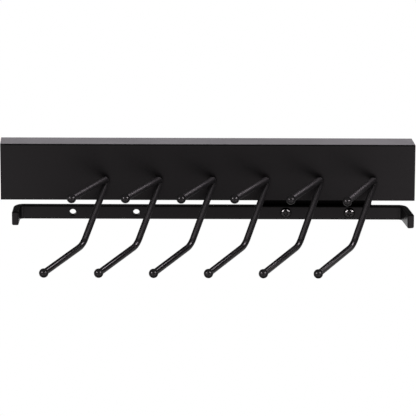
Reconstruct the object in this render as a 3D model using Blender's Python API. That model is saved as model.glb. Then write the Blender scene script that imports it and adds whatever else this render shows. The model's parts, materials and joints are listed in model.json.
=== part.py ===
"""Side-mounted tie rack with a pull-out hanger bar under its housing.

Metres, +Z up. The wall is the plane y = 0, the front of the rack faces -Y, and the
origin is the middle of the housing's wall flange. The bar pulls out along -X.
"""
import math

import bmesh
import bpy
from mathutils import Matrix, Vector

MM = 0.001
CLEAR = 0.3 * MM            # gap left where two pieces meet
SLIP = 0.3 * MM             # radial play of a pin, screw or spigot in its hole

# Housing: a folded sheet channel, open to the wall and downwards
HOUSING_LENGTH = 416.0 * MM
HOUSING_HEIGHT = 58.8 * MM
HOUSING_DEPTH = 24.2 * MM
SHEET = 1.2 * MM
FOLD = 0.8 * MM             # fold radius on the sheet's middle surface
WALL_FLANGE = 24.0 * MM     # height of the flange on the wall
BOTTOM_LIP = 7.0 * MM
END_SLANT = 3.2 * MM        # how far the open end is cut back at the wall
KEYHOLE_SPACING = 256.0 * MM
KEYHOLE_HEAD = 9.0 * MM
KEYHOLE_NECK = 4.6 * MM
KEYHOLE_RISE = 7.0 * MM     # from the middle of the round opening to the top of the neck's axis

# Double hooks, each one bent rod with a ball on both ends
HOOK_PITCH = 53.8 * MM
HOOK_FIRST = 105.95 * MM    # from the closed end to the first root
HOOK_LAST_ROOM = 35.0 * MM  # least length left after the last root
HOOK_ROOT_DROP = 35.3 * MM  # from the housing's top to the upper prong's axis
HOOK_TURN = math.radians(25.0)
ROD = 6.5 * MM
UPPER_REACH = 73.9 * MM     # root to the middle of the upper ball
BEND_REACH = 52.5 * MM
BEND_DROP = 54.0 * MM
TIP_REACH = 137.4 * MM      # root to the middle of the lower ball
TIP_DROP = 57.6 * MM
ROOT_BEND = 3.6 * MM        # bend radii on the rod's axis
LOWER_BEND = 22.0 * MM
UPPER_ASIDE = (-1.0, -1.5, -0.3, -1.1, 0.5, 2.2)  # degrees each upper prong is bent aside
UPPER_LIFT = (0.4, 0.4, 0.4, 0.4, 0.1, -0.9)      # and up
BALL_OVER = 1.4 * MM        # how far a ball stands over its rod
SPIGOT_STEP = 1.0 * MM
SPIGOT_LENGTH = 4.4 * MM
END_RINGS = 3               # rings that shape each end of a rod

# Slide track inside the housing, and the carriage that runs in it
TRACK_FRONT_ROOM = 22.55 * MM
TRACK_REAR_ROOM = 35.85 * MM
TRACK_LIFT = 11.1 * MM      # from the bottom lip to the track
TRACK_SHEET = 1.2 * MM
TRACK_FOLD = 1.3 * MM
TRACK_LIP = 4.0 * MM
STOP_LENGTH = 14.0 * MM
STOP_EDGE = 1.4 * MM
ROLLER = 18.0 * MM
ROLLER_PITCH = 76.0 * MM
ROLLER_PLAY = 0.25 * MM
ROLLER_RIM = 2.0 * MM
ROLLER_HUB = 1.6 * MM
ROLLER_EDGE = 0.7 * MM
AXLE = 6.0 * MM
AXLE_HEAD = 10.0 * MM
AXLE_HEAD_HEIGHT = 1.6 * MM
AXLE_COLLAR = 1.5 * MM      # how far the collar stands over the pin
AXLE_NECK = 5.0 * MM
AXLE_TAIL = 8.0 * MM
AXLE_TAIL_HEIGHT = 1.2 * MM
PLATE = 2.5 * MM
PLATE_AHEAD = 57.5 * MM     # the plate's ends from the middle of its rollers
PLATE_BEHIND = 54.3 * MM
PLATE_CORNER = 4.0 * MM
PLATE_OVER_AXLE = 8.0 * MM
PLATE_TRACK_GAP = 2.8 * MM
PLATE_WALL_GAP = 4.9 * MM
PLATE_INSET = 1.0 * MM      # how far the plate ends above the bar's lower edge

# Hanger bar: a flat bar on edge with both ends turned forward
BAR_HEIGHT = 14.4 * MM
BAR_THICK = 6.8 * MM
BAR_GAP = 8.75 * MM         # between the housing's underside and the bar
FRONT_OVERHANG = 58.6 * MM  # from the outermost hole to the outer face at the bend
REAR_OVERHANG = 58.2 * MM
BAR_BEND = 8.5 * MM         # bend radius on the bar's middle line
BAR_EDGE = 1.6 * MM         # rounding of the bar's long edges
BAR_TIP = 1.2 * MM          # and of its two ends
FRONT_ARM = 21.5 * MM       # how far each end reaches past the bar's face
REAR_ARM = 27.7 * MM
FRONT_SPLAY = math.radians(4.5)
REAR_SPLAY = math.radians(11.3)
HOLE_SPACING = 64.0 * MM    # within each pair of holes
PAIR_SPACING = 214.8 * MM   # between the middles of the two pairs
SCREW = 6.0 * MM
SCREW_HEAD = 11.2 * MM
SCREW_HEAD_HEIGHT = 3.6 * MM
SCREW_PAST_PLATE = 1.2 * MM
RECESS_SPAN = 6.0 * MM
RECESS_WIDTH = 1.5 * MM
RECESS_DEPTH = 1.9 * MM

# Heights, worked out from the wall flange down
TOP_Z = WALL_FLANGE / 2
UNDERSIDE_Z = TOP_Z - HOUSING_HEIGHT
TRACK_HALF = ROLLER / 2 + ROLLER_PLAY
TRACK_Z = UNDERSIDE_Z + SHEET + TRACK_LIFT + TRACK_SHEET + TRACK_HALF
SLOT_HALF = TRACK_HALF - TRACK_LIP
BAR_TOP_Z = UNDERSIDE_Z - BAR_GAP
BAR_Z = BAR_TOP_Z - BAR_HEIGHT / 2
BAR_LOW_Z = BAR_TOP_Z - BAR_HEIGHT

# Depths: the track backs on the housing's face, the carriage plate stands off the wall,
# and the rollers are as wide as the room between them allows
FACE_Y = -HOUSING_DEPTH
TRACK_BACK_Y = FACE_Y + SHEET + CLEAR
AXLE_FRONT_Y = TRACK_BACK_Y + TRACK_SHEET + CLEAR
ROLLER_FRONT_Y = AXLE_FRONT_Y + AXLE_HEAD_HEIGHT + CLEAR
PLATE_REAR_Y = -PLATE_WALL_GAP
PLATE_FRONT_Y = PLATE_REAR_Y - PLATE
TRACK_REAR_Y = PLATE_FRONT_Y - PLATE_TRACK_GAP
TRACK_LIP_Y = TRACK_REAR_Y - TRACK_SHEET
ROLLER_REAR_Y = TRACK_LIP_Y - 2 * CLEAR
BAR_REAR_Y = PLATE_FRONT_Y - CLEAR
BAR_FRONT_Y = BAR_REAR_Y - BAR_THICK

# Places along the rack with the bar pushed home
CLOSED_END_X = -HOUSING_LENGTH / 2
TRACK_X = (CLOSED_END_X + TRACK_FRONT_ROOM, -CLOSED_END_X - TRACK_REAR_ROOM)
REST_X = TRACK_X[1] - STOP_LENGTH - CLEAR - ROLLER / 2 - ROLLER_PITCH / 2
AXLE_X = {"front": REST_X - ROLLER_PITCH / 2, "rear": REST_X + ROLLER_PITCH / 2}
SCREW_X = {"front": REST_X - HOLE_SPACING / 2, "rear": REST_X + HOLE_SPACING / 2}
SPARE_X = {end: x - PAIR_SPACING for end, x in SCREW_X.items()}
BAR_ENDS_X = (SPARE_X["front"] - FRONT_OVERHANG, SCREW_X["rear"] + REAR_OVERHANG)

# Colour, roughness and metallic value of each finish
BLACK_COAT = ("black_coat", (0.018, 0.017, 0.017), 0.38, 0.0)
ROD_COAT = ("rod_coat", (0.014, 0.013, 0.014), 0.32, 0.0)
BALL_CAP = ("ball_cap", (0.010, 0.010, 0.010), 0.22, 0.0)
ZINC = ("zinc_plate", (0.62, 0.63, 0.65), 0.35, 1.0)
BLACK_ZINC = ("black_zinc", (0.045, 0.042, 0.042), 0.2, 1.0)
STEEL = ("bright_steel", (0.70, 0.70, 0.71), 0.25, 1.0)
NYLON = ("nylon", (0.82, 0.81, 0.77), 0.45, 0.0)
RUBBER = ("rubber", (0.025, 0.025, 0.025), 0.85, 0.0)

SHARP = math.radians(40)


def clear_scene():
    for obj in list(bpy.data.objects):
        bpy.data.objects.remove(obj, do_unlink=True)


def material(finish):
    name, colour, roughness, metallic = finish
    mat = bpy.data.materials.get(name)
    if mat is None:
        mat = bpy.data.materials.new(name)
        mat.use_nodes = True
        shader = mat.node_tree.nodes["Principled BSDF"]
        shader.inputs["Base Color"].default_value = (*colour, 1.0)
        shader.inputs["Roughness"].default_value = roughness
        shader.inputs["Metallic"].default_value = metallic
    return mat


def add_object(name, bm, finish=None, origin=(0, 0, 0)):
    """Make one named object of a bmesh given in world places, with its origin as said."""
    bmesh.ops.recalc_face_normals(bm, faces=bm.faces)
    if bm.calc_volume(signed=True) < 0:
        bmesh.ops.reverse_faces(bm, faces=bm.faces)
    bmesh.ops.translate(bm, verts=bm.verts, vec=-Vector(origin))
    mesh = bpy.data.meshes.new(name)
    bm.to_mesh(mesh)
    bm.free()
    mesh.shade_smooth()
    mesh.set_sharp_from_angle(angle=SHARP)
    obj = bpy.data.objects.new(name, mesh)
    obj.location = origin
    bpy.context.scene.collection.objects.link(obj)
    if finish is not None:
        mesh.materials.append(material(finish))
    return obj


def combine(obj, helper, operation="DIFFERENCE"):
    """Cut or join a second body, and keep that body as a hidden helper."""
    helper.hide_render = True
    helper.display_type = "WIRE"
    mod = obj.modifiers.new(helper.name, "BOOLEAN")
    mod.operation = operation
    mod.solver = "EXACT"
    mod.object = helper


def soften(obj, width, segments=2):
    mod = obj.modifiers.new("edges", "BEVEL")
    mod.width = width
    mod.segments = segments
    mod.limit_method = "ANGLE"
    mod.angle_limit = SHARP


def left_of(heading):
    return Vector((-heading.y, heading.x))


def rounded(points, radii, steps):
    """Points and unit headings along a polyline whose inner corners are arcs."""
    pts = [Vector(p) for p in points]
    path = [(pts[0], (pts[1] - pts[0]).normalized())]
    for before, corner, after, radius in zip(pts, pts[1:], pts[2:], radii):
        inward = (corner - before).normalized()
        outward = (after - corner).normalized()
        turn = math.atan2(inward.cross(outward), inward.dot(outward))
        start = corner - inward * (radius * math.tan(abs(turn) / 2))
        centre = start + left_of(inward) * math.copysign(radius, turn)
        for k in range(steps + 1):
            spin = Matrix.Rotation(turn * k / steps, 2)
            path.append((centre + spin @ (start - centre), spin @ inward))
    path.append((pts[-1], (pts[-1] - pts[-2]).normalized()))
    return path


def strip(path, thick):
    """Closed outline of a strip of even thickness about a path."""
    left = [point + left_of(heading) * (thick / 2) for point, heading in path]
    right = [point - left_of(heading) * (thick / 2) for point, heading in path]
    return left + right[::-1]


def extruded(outline, depth):
    """Closed body: a flat outline pushed along a vector."""
    bm = bmesh.new()
    face = bm.faces.new([bm.verts.new(p) for p in outline])
    grown = bmesh.ops.extrude_face_region(bm, geom=[face])["geom"]
    moved = [item for item in grown if isinstance(item, bmesh.types.BMVert)]
    bmesh.ops.translate(bm, verts=moved, vec=depth)
    return bm


def extruded_x(outline, x0, x1):
    return extruded([(x0, y, z) for y, z in outline], (x1 - x0, 0, 0))


def extruded_y(outline, y0, y1):
    return extruded([(x, y0, z) for x, z in outline], (0, y1 - y0, 0))


def along_y(x, y, z):
    """Place whose local Z runs along +Y from a point."""
    return Matrix.Translation((x, y, z)) @ Matrix.Rotation(-math.pi / 2, 4, "X")


def turned(profile, place, segments, closed=False):
    """Body turned about its local Z from (radius, height) points."""
    bm = bmesh.new()
    verts = [bm.verts.new((r, 0, h)) for r, h in profile]
    edges = [bm.edges.new(pair) for pair in zip(verts, verts[1:])]
    if closed:
        edges.append(bm.edges.new((verts[-1], verts[0])))
    bmesh.ops.spin(bm, geom=verts + edges, cent=(0, 0, 0), axis=(0, 0, 1), angle=2 * math.pi,
                   steps=segments, use_merge=True)
    bmesh.ops.remove_doubles(bm, verts=bm.verts, dist=1e-6)
    bmesh.ops.transform(bm, matrix=place, verts=bm.verts)
    return bm


def drill(obj, name, x, z, radius, y0, y1):
    """Cut a round hole along Y."""
    bm = bmesh.new()
    bmesh.ops.create_cone(bm, cap_ends=True, segments=28, radius1=radius, radius2=radius, depth=y1 - y0,
                          matrix=along_y(x, (y0 + y1) / 2, z))
    combine(obj, add_object(name, bm))


def build_housing():
    half = SHEET / 2
    middle_face, middle_top, middle_low = FACE_Y + half, TOP_Z - half, UNDERSIDE_Z + half
    folds = [(-half, TOP_Z - WALL_FLANGE), (-half, middle_top), (middle_face, middle_top),
             (middle_face, middle_low), (FACE_Y + BOTTOM_LIP, middle_low)]
    bm = extruded_x(strip(rounded(folds, [FOLD] * 3, 4), SHEET), CLOSED_END_X, -CLOSED_END_X)
    for vert in bm.verts:
        if vert.co.x > 0:
            vert.co.x -= END_SLANT * (vert.co.y - FACE_Y) / HOUSING_DEPTH
    housing = add_object("housing", bm, BLACK_COAT)
    rim = [(-half, middle_low), (-half, middle_top), (middle_face, middle_top), (middle_face, middle_low)]
    end_x = CLOSED_END_X + CLEAR
    combine(housing, add_object("end_plate", extruded_x(rim, end_x, end_x + SHEET), BLACK_COAT), "UNION")
    for end, side in (("front", -1), ("rear", 1)):
        outline = keyhole(side * KEYHOLE_SPACING / 2, -KEYHOLE_RISE / 2)
        combine(housing, add_object(f"{end}_keyhole", extruded_y(outline, -2 * SHEET, SHEET)))


def keyhole(x, z):
    """Outline of a round opening with a narrow neck rising from it."""
    big, small = KEYHOLE_HEAD / 2, KEYHOLE_NECK / 2
    lead = math.asin(small / big)
    steps = 24
    turn = 2 * (math.pi - lead) / steps
    angles = [math.pi / 2 + lead + turn * i for i in range(steps + 1)]
    opening = [(x + big * math.cos(a), z + big * math.sin(a)) for a in angles]
    angles = [math.pi * i / 10 for i in range(11)]
    neck = [(x + small * math.cos(a), z + KEYHOLE_RISE + small * math.sin(a)) for a in angles]
    return opening + neck


def build_track():
    half = TRACK_SHEET / 2
    back, rear = TRACK_BACK_Y + half, TRACK_REAR_Y - half
    outer = TRACK_HALF + half
    folds = [(rear, TRACK_Z + SLOT_HALF), (rear, TRACK_Z + outer), (back, TRACK_Z + outer),
             (back, TRACK_Z - outer), (rear, TRACK_Z - outer), (rear, TRACK_Z - SLOT_HALF)]
    outline = strip(rounded(folds, [TRACK_FOLD] * 4, 3), TRACK_SHEET)
    add_object("slide_track", extruded_x(outline, *TRACK_X), ZINC)
    inset = TRACK_HALF - CLEAR
    low, high = TRACK_Z - inset, TRACK_Z + inset
    front, back = AXLE_FRONT_Y, TRACK_LIP_Y - CLEAR
    block = [(front, low), (back, low), (back, high), (front, high)]
    for end, x in (("front", TRACK_X[0]), ("rear", TRACK_X[1] - STOP_LENGTH)):
        stop = add_object(f"{end}_stop", extruded_x(block, x, x + STOP_LENGTH), RUBBER)
        soften(stop, STOP_EDGE, 1)


def hook_path():
    """Axis of a hook in its own plane, forward and up from the root, upper tip first."""
    to_bend = Vector((BEND_REACH - ROOT_BEND, BEND_DROP - ROOT_BEND))
    slope = math.atan2(to_bend.y, to_bend.x) - math.asin(ROOT_BEND / to_bend.length)
    apex = ROOT_BEND - ROOT_BEND / math.tan(slope / 2)
    corners = [(UPPER_REACH, 0), (apex, 0), (BEND_REACH, -BEND_DROP), (TIP_REACH, -TIP_DROP)]
    return rounded(corners, [ROOT_BEND, LOWER_BEND], 7)


def ball_flat():
    """How far the flat that meets the rod lies from the middle of a ball."""
    return math.sqrt((ROD / 2 + BALL_OVER) ** 2 - (ROD / 2) ** 2)


def rod_stations(path):
    """Middle, heading and radius of each ring of a rod, with a spigot on both ends."""
    rod, spigot = ROD / 2, ROD / 2 - SPIGOT_STEP
    shoulder = ball_flat() + CLEAR
    stations = [(point, heading, rod) for point, heading in path[1:-1]]
    for index, inward in ((0, 1), (-1, -1)):
        point, heading = path[index]
        seat = point + heading * (inward * shoulder)
        tip = seat - heading * (inward * SPIGOT_LENGTH)
        end = [(tip, heading, spigot), (seat, heading, spigot), (seat, heading, rod)]
        stations = end + stations if inward > 0 else stations + end[::-1]
    return stations


def prong_set(index):
    """How the upper prong of one hook is bent aside and up from its root, in the hook's own place."""
    bent = Matrix.Identity(4)
    bent[1][0] = math.tan(math.radians(UPPER_ASIDE[index % len(UPPER_ASIDE)]))
    bent[2][0] = math.tan(math.radians(UPPER_LIFT[index % len(UPPER_LIFT)]))
    pivot = Matrix.Translation((ROOT_BEND, 0, 0))
    return pivot @ bent @ pivot.inverted()


def lofted(stations, places, segments):
    """Body bridged through round rings set square to a path in their places' XZ plane."""
    bm = bmesh.new()
    loops = []
    for (point, heading, radius), place in zip(stations, places):
        square = Matrix.Rotation(math.pi / 2 - math.atan2(heading.y, heading.x), 4, "Y")
        ring = bmesh.ops.create_circle(bm, segments=segments, radius=radius,
                                       matrix=place @ Matrix.Translation((point.x, 0, point.y)) @ square)
        loops.append(ring["verts"])
    edges = [list({edge for vert in loop for edge in vert.link_edges}) for loop in loops]
    for one, two in zip(edges, edges[1:]):
        bmesh.ops.bridge_loops(bm, edges=one + two)
    bm.faces.new(loops[0])
    bm.faces.new(loops[-1])
    return bm


def build_hooks():
    path = hook_path()
    stations = rod_stations(path)
    facing = Matrix.Rotation(-math.pi / 2 - HOOK_TURN, 4, "Z")
    count = 1 + int((HOUSING_LENGTH - HOOK_FIRST - HOOK_LAST_ROOM) / HOOK_PITCH)
    for i in range(count):
        root = Vector((CLOSED_END_X + HOOK_FIRST + i * HOOK_PITCH, FACE_Y - CLEAR - ROD / 2,
                       TOP_Z - HOOK_ROOT_DROP))
        place = Matrix.Translation(root) @ facing
        bent = place @ prong_set(i)
        places = [bent] * END_RINGS + [place] * (len(stations) - END_RINGS)
        add_object(f"hook_{i + 1}", lofted(stations, places, 16), ROD_COAT, root)
        ends = (("upper", path[0], 1, bent), ("lower", path[-1], -1, place))
        for label, (point, heading), inward, stand in ends:
            middle = stand @ Vector((point.x, 0, point.y))
            axis = stand.to_3x3() @ Vector((heading.x * inward, 0, heading.y * inward))
            build_ball(f"{label}_ball_{i + 1}", middle, axis)


def build_ball(name, middle, axis):
    """Ball cap with a flat and a blind bore on the side of its rod."""
    radius, flat = ROD / 2 + BALL_OVER, ball_flat()
    bore = ROD / 2 - SPIGOT_STEP + SLIP
    floor = flat - SPIGOT_LENGTH + CLEAR / 2
    rows = 7
    step = (math.pi - math.acos(flat / radius)) / rows
    profile = [(radius * math.sin(step * k), -radius * math.cos(step * k)) for k in range(rows + 1)]
    profile += [(bore, flat), (bore, floor), (0, floor)]
    place = Matrix.Translation(middle) @ axis.to_track_quat("Z", "Y").to_matrix().to_4x4()
    add_object(name, turned(profile, place, 16), BALL_CAP, middle)


def build_carriage():
    frame = bpy.data.objects.new("carriage_frame", None)
    frame.location = (REST_X, PLATE_FRONT_Y, TRACK_Z)
    bpy.context.scene.collection.objects.link(frame)
    left, right, top = REST_X - PLATE_AHEAD, REST_X + PLATE_BEHIND, TRACK_Z + PLATE_OVER_AXLE
    low, corner = BAR_LOW_Z + PLATE_INSET, PLATE_CORNER
    outline = [(left, low), (right, low), (right, top - corner), (right - corner, top),
               (left + corner, top), (left, top - corner)]
    plate = add_object("carriage_plate", extruded_y(outline, PLATE_FRONT_Y, PLATE_REAR_Y), BLACK_COAT)
    pieces = [plate, build_bar()]
    through = (PLATE_FRONT_Y - PLATE, PLATE_REAR_Y + PLATE)
    for end, x in AXLE_X.items():
        drill(plate, f"{end}_axle_hole", x, TRACK_Z, AXLE_NECK / 2 + SLIP, *through)
        pieces += [build_axle(end, x), build_roller(end, x)]
    for end, x in SCREW_X.items():
        drill(plate, f"{end}_screw_hole", x, BAR_Z, SCREW / 2 + SLIP, *through)
        pieces.append(build_screw(end, x))
    for piece in pieces:
        piece.parent = frame
        piece.matrix_parent_inverse = Matrix.Translation(frame.location).inverted()


def build_axle(end, x):
    """Shouldered pin riveted into the plate, with a head that keeps the roller on."""
    head, tail, edge = AXLE_HEAD / 2, AXLE_TAIL / 2, AXLE_HEAD_HEIGHT / 4
    collar = min(AXLE / 2 + AXLE_COLLAR, SLOT_HALF - 2 * CLEAR)
    pin_end = ROLLER_REAR_Y + CLEAR - AXLE_FRONT_Y
    collar_end = PLATE_FRONT_Y - CLEAR - AXLE_FRONT_Y
    tail_start = PLATE_REAR_Y + CLEAR - AXLE_FRONT_Y
    tail_end = tail_start + AXLE_TAIL_HEIGHT
    tail_edge = tail_start + AXLE_TAIL_HEIGHT * 0.6
    profile = [(0, 0), (head - edge, 0), (head, edge), (head, AXLE_HEAD_HEIGHT),
               (AXLE / 2, AXLE_HEAD_HEIGHT), (AXLE / 2, pin_end), (collar, pin_end), (collar, collar_end),
               (AXLE_NECK / 2, collar_end), (AXLE_NECK / 2, tail_start), (tail, tail_start),
               (tail * 0.8, tail_edge), (tail * 0.4, tail_end), (0, tail_end)]
    place = along_y(x, AXLE_FRONT_Y, TRACK_Z)
    return add_object(f"{end}_axle", turned(profile, place, 24), STEEL, place.translation)


def build_roller(end, x):
    """Moulded roller with rounded edges and a ring hollow in each side."""
    radius, width, bore = ROLLER / 2, ROLLER_REAR_Y - ROLLER_FRONT_Y, AXLE / 2 + SLIP
    hub, rim, edge = bore + ROLLER_HUB, radius - ROLLER_RIM, ROLLER_EDGE
    hollow = width / 6
    profile = [(bore, 0), (hub, 0), (hub, hollow), (rim, hollow), (rim, 0), (radius - edge, 0),
               (radius, edge), (radius, width - edge), (radius - edge, width), (rim, width),
               (rim, width - hollow), (hub, width - hollow), (hub, width), (bore, width)]
    place = along_y(x, ROLLER_FRONT_Y, TRACK_Z)
    return add_object(f"{end}_roller", turned(profile, place, 32, closed=True), NYLON, place.translation)


def build_screw(end, x):
    """Pan-head screw with a cross recess; its shank stands in for the thread."""
    top = BAR_FRONT_Y - CLEAR - SCREW_HEAD_HEIGHT
    head, shank = SCREW_HEAD / 2, SCREW / 2
    length = PLATE_REAR_Y + SCREW_PAST_PLATE - top
    crown_height, rows = SCREW_HEAD_HEIGHT * 0.78, 6
    angles = [math.pi / 2 * k / rows for k in range(rows + 1)]
    profile = [(head * math.sin(a), crown_height * (1 - math.cos(a))) for a in angles]
    profile += [(head, SCREW_HEAD_HEIGHT), (shank, SCREW_HEAD_HEIGHT), (shank, length - shank * 0.3),
                (shank * 0.7, length), (0, length)]
    place = along_y(x, top, BAR_Z)
    screw = add_object(f"bar_screw_{end}", turned(profile, place, 24), BLACK_ZINC, place.translation)
    a, b = RECESS_SPAN / 2, RECESS_WIDTH / 2
    quarter = [Vector((a, -b)), Vector((a, b)), Vector((b, b))]
    cross = [Matrix.Rotation(math.pi / 2 * k, 2) @ corner for k in range(4) for corner in quarter]
    outline = [(x + p.x, BAR_Z + p.y) for p in cross]
    combine(screw, add_object(f"{end}_recess", extruded_y(outline, top - RECESS_DEPTH, top + RECESS_DEPTH)))
    return screw


def bar_ring(point, heading, inset):
    """One rounded section of the bar, square to its path and drawn in by an inset."""
    across, up, radius = BAR_THICK / 2 - BAR_EDGE, BAR_HEIGHT / 2 - BAR_EDGE, BAR_EDGE - inset
    ring = []
    for quarter, (side, rise) in enumerate(((1, 1), (-1, 1), (-1, -1), (1, -1))):
        for step in range(4):
            angle = math.pi / 2 * (quarter + step / 3)
            spot = point + left_of(heading) * (side * across + radius * math.cos(angle))
            ring.append((spot.x, spot.y, BAR_Z + rise * up + radius * math.sin(angle)))
    return ring


def bar_rings(path):
    """Sections of the bar along its path, with rounded ends."""
    rings = [bar_ring(point, heading, 0) for point, heading in path[1:-1]]
    for index, inward in ((0, 1), (-1, -1)):
        point, heading = path[index]
        end = []
        for angle in (0, math.pi / 4, math.pi / 2):
            back = BAR_TIP * (1 - math.cos(angle)) * inward
            end.append(bar_ring(point + heading * back, heading, BAR_TIP * (1 - math.sin(angle))))
        rings = end + rings if inward > 0 else rings + end[::-1]
    return rings


def skinned(rings):
    """Closed body through rings of as many points each."""
    bm = bmesh.new()
    loops = [[bm.verts.new(p) for p in ring] for ring in rings]
    for one, two in zip(loops, loops[1:]):
        for a, b, c, d in zip(one, one[1:] + one[:1], two[1:] + two[:1], two):
            bm.faces.new((a, b, c, d))
    bm.faces.new(loops[0])
    bm.faces.new(loops[-1])
    return bm


def build_bar():
    """Flat bar on edge, bent forward at both ends, with a used and a spare pair of holes."""
    middle = (BAR_FRONT_Y + BAR_REAR_Y) / 2
    half = BAR_THICK / 2
    bends = (BAR_ENDS_X[0] + half, BAR_ENDS_X[1] - half)
    front = (bends[0] - (FRONT_ARM + half) * math.tan(FRONT_SPLAY), BAR_FRONT_Y - FRONT_ARM)
    rear = (bends[1] + (REAR_ARM + half) * math.tan(REAR_SPLAY), BAR_FRONT_Y - REAR_ARM)
    path = rounded([front, (bends[0], middle), (bends[1], middle), rear], [BAR_BEND] * 2, 6)
    bar = add_object("hanger_bar", skinned(bar_rings(path)), BLACK_COAT)
    for label, places in (("bar", SCREW_X), ("spare", SPARE_X)):
        for end, x in places.items():
            drill(bar, f"{end}_{label}_hole", x, BAR_Z, SCREW / 2 + SLIP,
                  BAR_FRONT_Y - BAR_THICK / 2, BAR_REAR_Y + BAR_THICK / 2)
    return bar


def main():
    clear_scene()
    build_housing()
    build_track()
    build_hooks()
    build_carriage()


main()
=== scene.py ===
"""Dressed model of a side-mounted tie rack with a pull-out hanger bar.

Metres, +Z up. The wall is the plane y = 0, the rack's face looks along -Y, and the bar
pulls out along -X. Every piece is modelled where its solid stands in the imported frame.
"""
import json
import logging
import math
from dataclasses import dataclass, field
from enum import Enum
from typing import Iterable, Sequence, Union

import bmesh
import bpy
from mathutils import Matrix, Vector, noise

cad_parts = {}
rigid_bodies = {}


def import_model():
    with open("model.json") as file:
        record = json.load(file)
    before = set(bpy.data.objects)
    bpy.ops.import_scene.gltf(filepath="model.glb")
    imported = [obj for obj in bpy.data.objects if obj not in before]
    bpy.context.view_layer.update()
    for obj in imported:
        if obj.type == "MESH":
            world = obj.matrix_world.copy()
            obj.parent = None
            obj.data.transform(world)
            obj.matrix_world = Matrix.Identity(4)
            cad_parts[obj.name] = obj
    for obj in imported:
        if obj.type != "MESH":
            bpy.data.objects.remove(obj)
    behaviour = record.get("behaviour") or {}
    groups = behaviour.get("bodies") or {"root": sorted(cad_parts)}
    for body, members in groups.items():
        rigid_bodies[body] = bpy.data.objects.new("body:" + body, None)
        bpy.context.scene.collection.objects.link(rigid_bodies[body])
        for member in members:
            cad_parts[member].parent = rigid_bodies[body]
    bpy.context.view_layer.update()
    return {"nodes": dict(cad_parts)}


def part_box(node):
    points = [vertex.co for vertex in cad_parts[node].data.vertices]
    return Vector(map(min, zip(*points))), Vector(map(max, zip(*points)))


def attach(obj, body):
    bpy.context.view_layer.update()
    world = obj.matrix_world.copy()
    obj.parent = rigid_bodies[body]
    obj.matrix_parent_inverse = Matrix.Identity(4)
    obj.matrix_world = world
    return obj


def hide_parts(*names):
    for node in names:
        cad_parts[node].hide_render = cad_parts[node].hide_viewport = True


LOG = logging.getLogger("tie_rack")
MM = 0.001
QUARTER = math.pi / 2
SMOOTH = math.radians(38)
CREASE = math.radians(60)
DOUBLES = 1e-7
HOLE_SIDES = 40
FOLD_STEPS = 8
BEND_STEPS = 14
EDGE_BREAK = 0.16
FLAT_WEIGHT = 50
WARM = (1.0, 0.91, 0.955, 1.0)
WHITE = (1.0, 1.0, 1.0, 1.0)

Mesh = bmesh.types.BMesh
Node = bpy.types.Node
Plug = bpy.types.NodeSocket
Colour = tuple[float, float, float]
Point = tuple[float, float]
Spot = tuple[float, float, float]
Ramp = tuple[float, float, Point]
Feed = Union[Plug, float, tuple[float, ...]]


class Body(Enum):
    """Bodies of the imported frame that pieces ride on."""

    RACK = "rack"
    CARRIAGE = "carriage"
    FRONT_ROLLER = "front_roller"
    REAR_ROLLER = "rear_roller"


class End(Enum):
    """The end that is pulled out first, and the end that stays in."""

    FRONT = "front"
    REAR = "rear"

    @property
    def roller(self) -> Body:
        """Body of the roller at this end."""
        return Body.FRONT_ROLLER if self is End.FRONT else Body.REAR_ROLLER


class Plane(Enum):
    """Plane that a rod or bar is bent in."""

    UPRIGHT = "XZ"
    LEVEL = "XY"

    @property
    def axis(self) -> Vector:
        """Axis that a left-hand bend turns about."""
        return Vector((0, -1, 0)) if self is Plane.UPRIGHT else Vector((0, 0, 1))

    def lift(self, flat: Vector) -> Vector:
        """Give a flat point or heading its place in space."""
        return Vector((flat.x, 0, flat.y)) if self is Plane.UPRIGHT else Vector((flat.x, flat.y, 0))


# Shared surface effects


@dataclass(frozen=True)
class Socket:
    """One named input or output of an effect."""

    name: str
    kind: str = "NodeSocketFloat"
    value: float | None = None


VECTOR = Socket("Vector", "NodeSocketVector")


class Effect:
    """Shader node group that several finishes share."""

    name = "effect"
    inputs: tuple[Socket, ...] = ()
    outputs: tuple[Socket, ...] = ()

    def tree(self) -> bpy.types.NodeTree:
        """Return the group, building it on first use.

        Returns:
            The shader node tree of this effect.
        """
        found = bpy.data.node_groups.get(self.name)
        if found is not None:
            return found
        group = bpy.data.node_groups.new(self.name, "ShaderNodeTree")
        for side, sockets in (("INPUT", self.inputs), ("OUTPUT", self.outputs)):
            for socket in sockets:
                made = group.interface.new_socket(socket.name, in_out=side, socket_type=socket.kind)
                if socket.value is not None:
                    made.default_value = socket.value
        self.wire(Wiring(group, grouped=True))
        return group

    def wire(self, net: "Wiring") -> None:
        """Lay the effect's nodes."""
        raise NotImplementedError


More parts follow.
